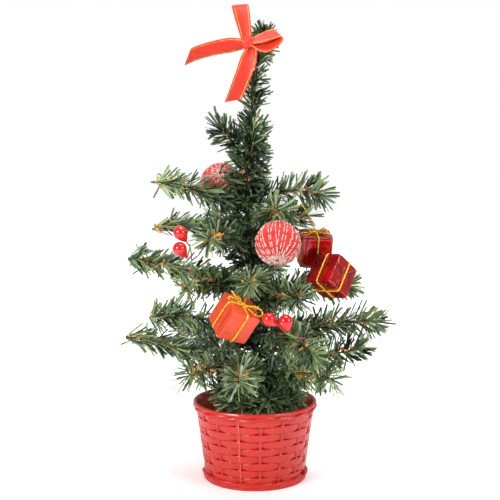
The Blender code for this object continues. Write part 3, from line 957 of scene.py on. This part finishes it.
# %% [markdown]
# Each branch's own route comes from its CAD sleeve: the middle of its root, of its waist and of
# its tip lie on one gentle arch. On the left the needles are brushed back towards the trunk, as if
# the branch had been pushed through a tube, and on the right they point forwards. A few ends are
# folded back into the branch by hand, so TURNED_IN says by how many millimetres each of those is
# shorter.

# %% Branches
BACKSWEPT = {
    "branch_1_left": 142, "branch_2_left": 130, "branch_3_left": 136, "branch_4_left": 148,
    "branch_5_left": 142,
}
FORWARD = 60.0
NEEDLE_REACH = 12.4
NEEDLES_PER_MM = 4.9
BARK_PER_MM = 0.65
BARE_ROOT = 0.04
STEM_RADIUS = 0.42
STEM_PITCH = 5.0
END_SLICE = 1.2
TURNED_IN = {
    "branch_1_right": 9.0, "branch_2_right": 9.0, "branch_3_right": 9.0, "branch_4_right": 9.0,
    "branch_5_right": 3.0, "branch_6_left": 9.0,
    "branch_1_front_right": 5.0, "branch_2_front_right": 5.0,
}


def branch_line(node, steps=40):
    """The route of a branch's wire, from the trunk to its tip."""
    corners = cad_points(node)
    trunk = np.array([trunk_at(height) for height in corners[:, 2]])
    out = np.linalg.norm((corners - trunk)[:, :2], axis=1)
    chord = unit(corners[out.argmax()] - corners[out.argmin()])
    run = corners @ chord
    root = corners[run < run.min() + END_SLICE].mean(axis=0)
    tip = corners[run > run.max() - END_SLICE].mean(axis=0)
    middle = corners[np.abs(run - (run.min() + run.max()) / 2) < 7].mean(axis=0)
    share = np.linspace(0, 1, steps)[:, None]
    control = 2 * middle - (root + tip) / 2
    return root * (1 - share) ** 2 + control * 2 * share * (1 - share) + tip * share**2


branch_names = sorted(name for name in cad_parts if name.startswith("branch_"))
needle_count = 0
for number, name in enumerate(branch_names):
    rng = np.random.default_rng(100 + number)
    route = handled(branch_line(name), rng)
    length = np.linalg.norm(np.diff(route, axis=0), axis=1).sum()
    turned_in = TURNED_IN.get(name, 0)
    route = along_route(route, np.linspace(0, 1 - turned_in / length, len(route)))
    length -= turned_in
    lean = BACKSWEPT.get(name, FORWARD + rng.uniform(-10, 10))
    tone = 0.62 + rng.uniform(-0.06, 0.08)
    count = int(length * NEEDLES_PER_MM)
    green = grown(route, count, BARE_ROOT, lean, NEEDLE_REACH, rng, tone)
    tan = barked(route, int(length * BARK_PER_MM), first=0.3, rng=rng)
    finishes = [needle_green, bark_tan, wire_dark]
    needles = strip_mesh(name + "_needles", [(green, 0), (tan, 1)], finishes)
    stem = tubes(name + "_stem", twisted(route, STEM_RADIUS, STEM_PITCH), STEM_RADIUS, sides=4)
    dress(stem, *finishes)
    for face in stem.data.polygons:
        face.material_index = 2
    branch = joined(name + "_sprig", needles, stem)
    put_on(branch, name, "needles", name)
    needle_count += count
print("branches:", len(branch_names), "with", needle_count, "needles")

# %% [markdown]
# The trunk itself is grown over too: dense strips between the tiers, dark from a low tone and the
# painted shade near the trunk, hide the wire, a ring of low sprigs reaches out to the pot's rim, and
# at the top is the leader, whose needles point up like a brush.

# %% Needles on the trunk and the leader
TRUNK_NEEDLES = 1300
LEADER_NEEDLES = 380
TUFT_NEEDLES = 110
LOW_SPRIGS = 16
SPRIG_NEEDLES = 130
SPRIGS_FROM, SPRIGS_ROUND = -132, 300
TRUNK_BARK, LEADER_BARK, TUFT_BARK = 60, 40, 9
rng = np.random.default_rng(7)
route = np.array([trunk_at(height) for height in np.linspace(54, 214, 60)])
inner = grown(
    route, TRUNK_NEEDLES, first=0.0, lean=82, reach=15.5, rng=rng, tone=0.5, tip=0.5, spread=26
)
tan = barked(route, TRUNK_BARK, first=0.0, rng=rng)
batches = [(inner, 0), (tan, 1)]
for number in range(LOW_SPRIGS):
    place = (number + rng.uniform(-0.2, 0.2)) / (LOW_SPRIGS - 1)
    angle = math.radians(SPRIGS_FROM + SPRIGS_ROUND * place)
    out = np.array([math.cos(angle), math.sin(angle), 0])
    reach = rng.uniform(22, 26)
    root = trunk_at(rng.uniform(50, 56))
    arch = root + out * reach * 0.55 + (0, 0, 1.5)
    end = root + out * reach + (0, 0, rng.uniform(-6, -1))
    sprig = grown(
        curved([root, arch, end], 20), SPRIG_NEEDLES, first=0.1, lean=74, reach=11.5, rng=rng,
        tone=0.95, tip=5.0, spread=22,
    )
    batches.append((sprig, 0))
trunk_needles = strip_mesh("trunk_needles", batches, [needle_green, bark_tan])
put_on(trunk_needles, "trunk", "needles")

route = np.array([trunk_at(height) for height in np.linspace(204, 270, 50)] + [[5.4, 0, 273]])
brush = grown(
    route, LEADER_NEEDLES, first=0.0, lean=52, reach=11.2, rng=rng, tone=1.0, tip=3.0, spread=13
)
tan = barked(route, LEADER_BARK, first=0.2, rng=rng)
end = np.linspace((5.0, 0.5, 269), (5.3, 1.5, 276), 12)
tuft = grown(
    end, TUFT_NEEDLES, first=0.0, lean=62, reach=8.6, rng=rng, tone=1.1, tip=4.0, spread=24
)
tan_end = barked(end, TUFT_BARK, first=0.3, rng=rng)
leader = strip_mesh(
    "leader_needles_film", [(brush, 0), (tuft, 0), (tan, 1), (tan_end, 1)], [needle_green, bark_tan]
)
put_on(leader, "trunk", "needles", "leader_needles")
print("trunk and leader:", TRUNK_NEEDLES + LEADER_NEEDLES, "needles")

# %% [markdown]
# The bow is one length of satin ribbon with a gold thread woven in near each edge. Every loop and
# tail starts as a flat grid, which is bent along its own route, narrowed where the knot gathers
# it, and then given the thickness of cloth. Cloth simulation would soften it, but stiff wired
# ribbon this narrow keeps the folds that fingers give it, so its curves are shaped directly.

# %% Bow: ribbon bent along a route
KNOT = np.array([-4.7, -10.6, 269.5])
RIBBON_WIDTH = 10.0
RIBBON_THICKNESS = 0.26
EDGE_INSET = 0.9
GOLD_RADIUS = 0.3
KNOT_SIZE = (3.6, 3.0, 4.1)
LOOP_NECK, PINCHED_NECK, TAIL_NECK = 5.4, 4.8, 4.6


def ribbon(name, route, across, width, cup):
    """A ribbon along route, and the lines of its gold threads. across, width and cup (its hollow)
    have one value for each point of the route."""
    steps = len(route)
    only()
    bpy.ops.mesh.primitive_grid_add(x_subdivisions=8, y_subdivisions=steps - 1, size=1)
    obj = settle(bpy.context.object)
    obj.name = name
    face = np.cross(ahead(route), across)
    for vertex in obj.data.vertices:
        step = round((vertex.co.y + 0.5) * (steps - 1))
        side = vertex.co.x
        hollow = cup[step] * (4 * side * side - 0.5)
        place = route[step] + across[step] * side * width[step] + face[step] * hollow
        vertex.co = Vector(place) * MM
    lines = []
    for side in (-0.5, 0.5):
        spots = np.linspace(0, steps - 1, steps * 5)
        place = side * (1 - 2 * EDGE_INSET / width)
        hollow = cup * (4 * place**2 - 0.5)
        line = route + across * (place * width)[:, None] + face * hollow[:, None]
        line = [np.interp(spots, range(steps), line[:, axis]) for axis in range(3)]
        lines.append(np.stack(line, axis=1))
    return apply_modifier(obj, "SOLIDIFY", thickness=RIBBON_THICKNESS * MM, offset=0), lines


def turned_from(across, turn):
    """The width direction of a loop, which changes from the knot to the far end and back."""
    at_knot, at_end = np.array(across[0]), np.array(across[1])
    return unit(at_knot * (1 - np.sin(turn)) + at_end * np.sin(turn))


def loop(reach, across, spread, slip, steps=36):
    """The route of a loop: out from the knot and back, open in the middle. across holds its width
    direction at the knot and at the far end, and slip sets the way back beside the way out."""
    length = np.linalg.norm(reach)
    outward = unit(reach)
    turn = np.linspace(0, math.pi, steps)[:, None]
    first = unit(across[0] - outward * np.dot(across[0], outward))
    out = outward * np.sin(turn) ** 0.8 * length
    fullness = 0.3 + 0.7 * np.sin(turn)
    route = KNOT + out + np.cross(first, outward) * spread * np.cos(turn) * fullness
    route = route + first * slip * (1 - np.cos(turn)) / 2 * np.sin(turn)
    width = LOOP_NECK + (RIBBON_WIDTH - LOOP_NECK) * np.sin(turn[:, 0]) ** 0.6
    return route, turned_from(across, turn), width, 0.8 * (1 - np.sin(turn[:, 0])) + 0.15


def pinched_loop(points, across, steps=36):
    """A loop whose middle line passes through points, which are measured from the knot."""
    turn = np.linspace(0, math.pi, steps)[:, None]
    opened = np.clip(np.sin(turn[:, 0]) * 1.5, 0, 1) ** 0.8
    width = PINCHED_NECK + (RIBBON_WIDTH - PINCHED_NECK) * opened
    cup = 0.7 * (1 - np.sin(turn[:, 0])) + 0.1
    return KNOT + curved(points, steps), turned_from(across, turn), width, cup


def tail(start, reach, bend, across, twist, steps=30):
    """The route of a tail: out from the knot in one curve, with its face turning a little."""
    share = np.linspace(0, 1, steps)[:, None]
    route = KNOT + start * (1 - share) + reach * share + bend * share * (1 - share)
    forward = ahead(route)
    across = unit(across - forward * np.sum(forward * across, axis=1, keepdims=True))
    turn = np.radians(twist) * share
    across = across * np.cos(turn) + np.cross(forward, across) * np.sin(turn)
    opened = np.clip(share[:, 0] / 0.24, 0, 1) ** 0.6
    width = TAIL_NECK + (RIBBON_WIDTH - TAIL_NECK) * opened
    return route, across, width, 0.7 * (1 - np.clip(share[:, 0] / 0.4, 0, 1)) + 0.8


def cut_slantwise(obj, place, normal):
    """Cuts a tail's end off at a slant."""
    edit(obj, "FACE")
    bpy.ops.mesh.select_all(action="SELECT")
    bpy.ops.mesh.bisect(
        plane_co=Vector(place) * MM, plane_no=normal, use_fill=True, clear_outer=True
    )
    return close_edit(obj)


# %% Bow: two loops, two tails and the knot
shapes = {
    "upper_loop": loop(
        np.array([-3.6, 0, 22.4]), ((0.98, -0.1, 0.18), (0.98, -0.18, 0.05)),
        spread=2.2, slip=-1.5,
    ),
    "right_loop": pinched_loop(
        [(2.0, 0, 0.8), (6.6, -0.4, 2.3), (12.4, -1.2, 4.2), (17.4, -2.2, 5.6),
         (19.0, -2.8, 4.4), (17.2, -3.2, 1.2), (13.0, -3.0, -2.2), (8.8, -2.4, -3.3),
         (5.0, -1.6, -2.2), (2.0, -0.8, -0.4)],
        ((0.1, -0.7, -0.7), (0.46, -0.72, -0.52)),
    ),
    "left_tail": tail(
        np.array([0, 0, -1.0]), np.array([-39.6, -3.6, -11.0]), np.array([-6, -2, 8.5]),
        np.array([0.25, -0.45, 0.86]), twist=-12,
    ),
    "lower_tail": tail(
        np.array([3.2, 0, -2]), np.array([-10.2, -3.6, -37.4]), np.array([3, -4, 0]),
        np.array([0.95, 0.05, -0.3]), twist=-34,
    ),
}
cuts = {
    "left_tail": (KNOT + (-35.2, -3.6, -8.0), (-0.91, 0, 0.41)),
    "lower_tail": (KNOT + (-8.8, -3.6, -34.5), (0.2, 0, -0.98)),
}
cloth, gold_lines = [], []
for name, shape in shapes.items():
    made, lines = ribbon("bow_" + name, *shape)
    if name in cuts:
        place, normal = cuts[name]
        made = cut_slantwise(made, place, normal)
        keep = [((line - place) @ np.array(normal)) < -0.2 for line in lines]
        lines = [line[inside] for line, inside in zip(lines, keep)]
    cloth.append(made)
    gold_lines += lines
bow = dress(smooth(joined("bow_ribbon_cloth", *cloth), 50), satin)
put_on(bow, "bow", "red_satin", "bow_ribbon")

only()
bpy.ops.mesh.primitive_uv_sphere_add(segments=40, ring_count=18, radius=1)
knot = settle(bpy.context.object, Matrix.Diagonal((*KNOT_SIZE, 1)))
for vertex in knot.data.vertices:
    pleat = 0.22 * math.sin(vertex.co.x * 3.4) + 0.12 * math.sin(vertex.co.x * 7 + vertex.co.z)
    waist = 1 - 0.1 * math.cos(vertex.co.x * 0.9)
    vertex.co.y *= waist * (1 + 0.1 * pleat * 3)
    vertex.co.z *= waist * (1 + 0.07 * pleat * 3)
knot.data.transform(Matrix.Rotation(math.radians(-14), 4, "Y"))
knot.data.transform(Matrix.Diagonal((MM, MM, MM, 1)))
knot.data.transform(Matrix.Translation(Vector(KNOT) * MM))
knot.name = "bow_knot"
put_on(dress(smooth(knot, 60), satin), "bow", "red_satin")

beads = []
for line in gold_lines:
    beaded = [1 - 0.45 * (step % 2) for step in range(len(line))]
    beads.append(tubes("gold_line", [line], GOLD_RADIUS, sides=6, radii=beaded))
gold_edges = dress(joined("bow_gold_lines", *beads), gold_thread)
put_on(gold_edges, "bow", "gold_cord")
print("bow:", len(bow.data.polygons), "faces of ribbon,", len(gold_lines), "gold lines")

# %% [markdown]
# Each ball is a foam core wound with red satin from pole to pole, then crossed by white threads
# laid in pairs, which crowd together at the poles. The red winding is one sphere whose fine lines
# come from its map; the white pairs stand proud, so they are real strands, loosely twisted and
# slightly off true.

# %% Balls
WHITE_PAIRS = 36
BALL_POLES = {"ball_front": (0.05, 0.72, 0.69), "ball_back": (0, -0.82, 0.57)}
BALL_RADIUS = 13.0
WHITE_RADIUS = 0.15

for number, (name, pole) in enumerate(BALL_POLES.items()):
    rng = np.random.default_rng(40 + number)
    turn_up = Vector((0, 0, 1)).rotation_difference(Vector(pole).normalized()).to_matrix()
    centre = Vector(cad_centre(name + "_winding"))
    only()
    bpy.ops.mesh.primitive_uv_sphere_add(segments=96, ring_count=48, radius=BALL_RADIUS)
    winding = settle(bpy.context.object)
    for vertex in winding.data.vertices:
        polar = math.acos(max(-1, min(1, vertex.co.normalized().z)))
        near = min(polar, math.pi - polar)
        vertex.co *= 1 - 0.06 * math.exp(-((near / 0.1) ** 2))
    strands = []
    for pair in range(WHITE_PAIRS):
        polar = np.linspace(0.1, math.pi - 0.1, 40)
        drift = rng.normal(0, 0.25) + 0.35 * np.sin(polar * rng.uniform(1.5, 3) + rng.uniform(0, 6))
        side = math.tau * (pair + rng.normal(0, 0.12)) / WHITE_PAIRS + drift * 0.16 * np.sin(polar)
        gap = np.clip(np.sin(polar * rng.uniform(14, 22) + rng.uniform(0, 6)) - 0.1, 0, 1)
        near = np.minimum(polar, math.pi - polar)
        radius = BALL_RADIUS + 0.12 - 0.55 * gap - 0.5 * np.exp(-((near / 0.12) ** 2))
        out = np.sin(polar)
        line = np.stack([out * np.cos(side), out * np.sin(side), np.cos(polar)], axis=1)
        route = line * radius[:, None]
        strands += twisted(route, 0.17, rng.uniform(3.5, 5.5), start=rng.uniform(0, 6))
    white = tubes(name + "_white", strands, WHITE_RADIUS, sides=4)
    winding.data.materials.append(ball_red)
    dress(white, ball_white)
    white.data.transform(Matrix.Diagonal((1 / MM, 1 / MM, 1 / MM, 1)))
    move = Matrix.Diagonal((MM, MM, MM, 1)) @ Matrix.Translation(centre) @ turn_up.to_4x4()
    for piece, label, nodes in (
        (winding, "_thread", [name + "_core", name + "_winding"]),
        (white, "_white_thread", []),
    ):
        piece.data.transform(move)
        piece.name = name + label
        smooth(piece, 60)
        put_on(piece, name, "satin_thread", *nodes)
print("balls:", len(BALL_POLES), "with", WHITE_PAIRS, "white pairs each")

# %% [markdown]
# The gifts are foam blocks wrapped in foil, with gold cord round them both ways and a bow on top.
# A cube is bevelled, cut finer and pressed in here and there, as foil over foam is. The wrapping's
# laps are thin folded sheets of their own: one down a side, and four pointed flaps on the top and
# bottom.

# %% Gifts: the wrapped block
GIFT_SIZE = 18.8
CORD_OFF = 0.75
CORD_STRAND = 0.34
FOIL_THICKNESS = 0.12
SQUARENESS = 12


def flap(corners, lift):
    """A folded sheet of foil, from its flat corners on the block's top, in millimetres."""
    only()
    bpy.ops.mesh.primitive_plane_add(size=1)
    obj = settle(bpy.context.object)
    edit(obj, "VERT")
    bm = bmesh.from_edit_mesh(obj.data)
    order = sorted(bm.verts, key=lambda v: math.atan2(v.co.y, v.co.x))
    for vertex, (x, y) in zip(order, corners):
        vertex.co = (x, y, lift)
    bmesh.update_edit_mesh(obj.data)
    bpy.ops.mesh.select_all(action="SELECT")
    bpy.ops.mesh.subdivide(number_cuts=3)
    close_edit(obj)
    for vertex in obj.data.vertices:
        vertex.co.z += 0.12 * noise.noise(vertex.co * 0.5)
    return apply_modifier(obj, "SOLIDIFY", thickness=FOIL_THICKNESS, offset=1)


def wrapped_block(name, seed, dent):
    """The foil block, centred, its folded ends up and down, in millimetres."""
    half = GIFT_SIZE / 2
    only()
    bpy.ops.mesh.primitive_cube_add(size=GIFT_SIZE)
    block = settle(bpy.context.object)
    edit(block, "EDGE")
    bpy.ops.mesh.select_all(action="SELECT")
    bpy.ops.mesh.subdivide(number_cuts=9)
    close_edit(block)
    apply_modifier(block, "BEVEL", width=0.45, segments=2, limit_method="ANGLE")
    for vertex in block.data.vertices:
        place = vertex.co * 0.16 + Vector((seed, seed * 2, 0))
        press = dent * (noise.noise(place) + 0.6 * noise.noise(place * 2.7))
        vertex.co -= vertex.co.normalized() * (dent * 0.5 + press)
    pieces = [block]
    for turn in range(4):
        wide = half - 0.7 if turn % 2 else half - 1.6
        deep = 2.2 if turn % 2 else 3.6
        for up in (1, -1):
            edge, tip = half - 0.2, deep * 0.4
            corners = ((-wide, edge), (-tip, 1.5), (tip, 1.5), (wide, edge))
            lap = flap(corners, half - 0.1 + FOIL_THICKNESS * (turn % 2))
            lap.data.transform(Matrix.Rotation(math.tau * turn / 4, 4, "Z"))
            if up < 0:
                lap.data.transform(Matrix.Rotation(math.pi, 4, "X"))
            pieces.append(lap)
    edge = half - 0.5
    corners = ((-edge, -3.1), (-edge, -5.2), (edge, -5.4), (edge, -2.9))
    seam = flap(corners, half + 0.16)
    seam.data.transform(Matrix.Rotation(-math.pi / 2, 4, "Y"))
    pieces.append(seam)
    for piece in pieces:
        edit(piece, "FACE")
        close_edit(piece, 1e-4)
    return smooth(joined(name, *pieces), 28)


# %% Gifts: cord, bow and hanging loop
def cord_bow(centre, loops, tails):
    """The routes of a tied bow in world millimetres: drop-shaped loops and loose tails."""
    routes = []
    for reach, breadth, tilt in loops:
        reach = np.array(reach, float)
        side = unit(np.cross(reach, tilt)) * breadth
        turn = np.linspace(0, math.pi, 26)[:, None]
        fullness = 0.6 + 0.4 * np.sin(turn)
        drop = reach * np.sin(turn) ** 0.9
        routes.append(centre + drop + side * np.sin(2 * turn) * fullness)
    for points in tails:
        routes.append(centre + curved([(0, 0, 0)] + list(points), 14))
    return routes


GIFTS = {
    "gift_front": {
        "side": (0.769, 0.519, -0.373), "up": (0.499, -0.31, 0.809),
        "hook": (-3, -47, 122.6), "seed": 1.0,
        "loops": [((-8.4, -1.4, 4.4), 1.1, (0, -1, 0.2)), ((10.6, -2.2, -5.4), 2.3, (0, -1, 0.3))],
        "tails": [[(-3, -1.4, 3.2), (-6.8, -1.6, 8.4)], [(3, -1.6, -0.6), (8.6, -1.8, -1.0)]],
    },
    "gift_upper": {
        "side": (0.99, 0.1, -0.06), "up": (0.07, -0.2, 0.98),
        "hook": (29, -6.4, 172), "seed": 4.0,
        "loops": [((6.4, -1.2, 1.2), 1.5, (0, -1, 0.3)), ((-4.2, -1, 1.8), 1.2, (0, -1, 0.2))],
        "tails": [[(2.2, -1.2, 1.6), (4.6, -1.6, 3.0)], [(-2.4, -1.4, 0.4), (-4.6, -1.8, -1.0)]],
    },
    "gift_lower": {
        "side": (0.589, 0.522, -0.617), "up": (0.373, 0.479, 0.795),
        "hook": (47, -12.4, 128.9), "seed": 9.0,
        "loops": [((-5.4, -1, 0.6), 1.3, (0, -1, 0.3)), ((4.4, -1, -1.6), 1.5, (0, -1, 0.2))],
        "tails": [[(2, -1.4, -1.6), (4.6, -1.6, -3.4)], [(-1.4, -1.2, 1.0), (-3.0, -1.4, 2.6)]],
    },
}

for name, gift in GIFTS.items():
    up = unit(gift["up"])
    side = np.array(gift["side"])
    side = unit(side - up * np.dot(side, up))
    centre = cad_centre(name + "_box")
    pose = Matrix((side, np.cross(up, side), up)).transposed().to_4x4()
    pose.translation = Vector(centre)
    front = name == "gift_front"
    block = wrapped_block(name + "_foil", gift["seed"], 0.22 if front else 0.42)
    block.data.transform(Matrix.Diagonal((MM, MM, MM, 1)) @ pose)
    foil, slot = (foil_orange, "orange_red_foil") if front else (foil_red, "red_foil")
    put_on(dress(block, foil), name, slot, name + "_box")
    half = GIFT_SIZE / 2 + CORD_OFF - 0.25
    ring = []
    for angle in np.linspace(0, math.tau, 96, endpoint=False):
        x, y = math.cos(angle), math.sin(angle)
        size = (abs(x) ** SQUARENESS + abs(y) ** SQUARENESS) ** (-1 / SQUARENESS) * half
        ring.append((x * size, y * size))
    rings = [np.array([(a, 0, b) for a, b in ring]), np.array([(0.3, a, b) for a, b in ring])]
    routes = [np.array([pose @ Vector(point) for point in line]) for line in rings]
    top = np.array(pose @ Vector((0, 0, half + 0.5)))
    loose = cord_bow(top, gift["loops"], gift["tails"])
    hang = curved([top, (top + np.array(gift["hook"])) / 2 + (0, 0, 1.5), gift["hook"]], 16)
    routes = [np.vstack([route, route[:2]]) for route in routes]
    strands = [strand for route in routes for strand in twisted(route, 0.26, 2.4)]
    strands += [strand for route in [*loose, hang] for strand in twisted(route, 0.24, 2.2)]
    cord = tubes(name + "_cord_strands", strands, CORD_STRAND, sides=6)
    turn = np.linspace(0, math.tau, 15, endpoint=False)
    wrap = top + 0.85 * (np.outer(np.cos(turn), side) + np.outer(np.sin(turn), up))
    turns = [wrap + np.cross(up, side) * shift for shift in (-0.5, 0.15)]
    tie = tubes(name + "_cord_tie", turns, 0.42, closed=True)
    cord = dress(joined(name + "_gold_cord", cord, tie), gold_thread)
    put_on(cord, name, "gold_cord", name + "_cord")
print("gifts:", len(GIFTS))

# %% [markdown]
# The berries are glossy lacquered beads on thread-wound wires. Each starts as a sphere and is
# drawn out to a point on one side, where the wire enters. The wires are wound with thread, which
# shows as rings.

# %% Berries
BERRY_RADIUS = 4.1
DRAWN_OUT = 2.1
NARROWED = 0.4
WIRE_START = 5.2
STEM_THICKNESS = 0.42
PICKS = {
    "berries_left": (
        ((0.55, 0.1, -0.83), (0.6, 0.1, -0.79)),
        [(-38.0, -45.4, 152.2), (-37.0, -45.0, 145.5), (-37.4, -44.0, 139.0),
         (-38.4, -42.6, 133.4)],
    ),
    "berries_front": (
        ((0.82, 0.1, -0.56), (0.3, 0.1, -0.95)),
        [(17.2, -64.8, 103.6), (21.4, -60.4, 101.0), (26.0, -53.0, 98.6), (29.2, -47.8, 97.4)],
    ),
}
BERRY_PLACES = {
    "berries_left_1": (-43.2, -46, 158.8), "berries_left_2": (-43.6, -47, 149.6),
    "berries_front_1": (7.6, -64, 111.4), "berries_front_2": (17.0, -66, 110.6),
}

for name, (narrow_ends, stem) in PICKS.items():
    routes = [curved(stem, 26)]
    for number, narrow in enumerate(narrow_ends, start=1):
        bead_name = f"{name}_{number}"
        only()
        bpy.ops.mesh.primitive_uv_sphere_add(segments=40, ring_count=24, radius=BERRY_RADIUS)
        bead = settle(bpy.context.object)
        for vertex in bead.data.vertices:
            rise = max(0.0, vertex.co.z / BERRY_RADIUS)
            draw = rise**2.2
            vertex.co.z += DRAWN_OUT * draw
            vertex.co.x *= 1 - NARROWED * draw
            vertex.co.y *= 1 - NARROWED * draw
        way = Vector(narrow).normalized()
        turn_to = Vector((0, 0, 1)).rotation_difference(way).to_matrix().to_4x4()
        place = Vector(BERRY_PLACES[bead_name])
        bead.data.transform(Matrix.Diagonal((MM, MM, MM, 1)) @ Matrix.Translation(place) @ turn_to)
        bead.name = bead_name + "_bead"
        put_on(dress(smooth(bead, 60), berry_gloss), name, "berry_red", bead_name)
        start = place + way * WIRE_START
        routes.append(curved([start, start + way * 1.6, routes[0][2]], 10))
    wound = tubes(name + "_stem_thread", routes, STEM_THICKNESS, sides=8)
    put_on(dress(wound, stem_thread), name, "berry_stem", name + "_stem")
print("berries:", len(BERRY_PLACES))

# %% [markdown]
# The room: a pale floor, a wide soft light from each side in front, one from above, and a sky that
# is bright behind the tree and at its right. It is dim behind the camera and at the left, so that
# foil and gloss have something dark to reflect. The camera itself sees plain white.

# %% Floor and lights
LIGHTS = (
    # place in metres, power in watts, size in metres
    ((-0.75, -0.75, 0.6), 10.2, 0.45),
    ((0.85, -0.6, 0.55), 5.0, 0.45),
    ((0.1, 0.05, 1.05), 8, 0.6),
)
BRIGHT_WAY = (0.6, 0.78, 0.15)
LIGHT_TARGET = Vector((0, 0, 0.15))
only()
bpy.ops.mesh.primitive_grid_add(x_subdivisions=8, y_subdivisions=8, size=6)
floor = bpy.context.object
floor.name = "floor"
floor_white, tree, shader = finish("floor_white")
seen = use(tree, marks, Size=3.0, Dull=0.6, Spread=0.1)
colour = shades(tree, seen["Mask"], (0.0, (0.93, 0.93, 0.93)), (1.0, (0.91, 0.91, 0.91)))
place = add(tree, "ShaderNodeTexCoord").outputs["Object"]
away = add(tree, "ShaderNodeVectorMath", {0: place}, operation="LENGTH").outputs["Value"]
lit = span(tree, away, high=0.45, start=0.3, end=0.75)
for_camera = add(tree, "ShaderNodeLightPath").outputs["Is Camera Ray"]
glow = sums(tree, "MULTIPLY", lit, for_camera)
for key, output in {
    "Base Color": colour, "Roughness": seen["Roughness"], "Emission Strength": glow
}.items():
    tree.links.new(output, shader.inputs[key])
shader.inputs["Emission Color"].default_value = (1, 1, 1, 1)
dress(floor, floor_white)

for place, power, size in LIGHTS:
    bpy.ops.object.light_add(type="AREA", location=place)
    light = bpy.context.object
    light.data.energy = power
    light.data.size = size
    way = LIGHT_TARGET - Vector(place)
    light.rotation_euler = way.to_track_quat("-Z", "Y").to_euler()

world = bpy.data.worlds.new("studio")
bpy.context.scene.world = world
world.use_nodes = True
tree = world.node_tree
facing = {0: add(tree, "ShaderNodeTexCoord").outputs["Generated"], 1: BRIGHT_WAY}
facing = add(tree, "ShaderNodeVectorMath", facing, operation="DOT_PRODUCT").outputs["Value"]
share = span(tree, facing, -0.7, 0.45)
colour = shades(tree, share, (0.0, (0.05, 0.05, 0.05)), (1.0, (0.38, 0.38, 0.39)))
seen = add(tree, "ShaderNodeLightPath").outputs["Is Camera Ray"]
colour = mixed(tree, seen, colour, (1.0, 1.0, 1.0, 1.0))
tree.links.new(colour, tree.nodes["Background"].inputs["Color"])
tree.nodes["Background"].inputs["Strength"].default_value = 1.0
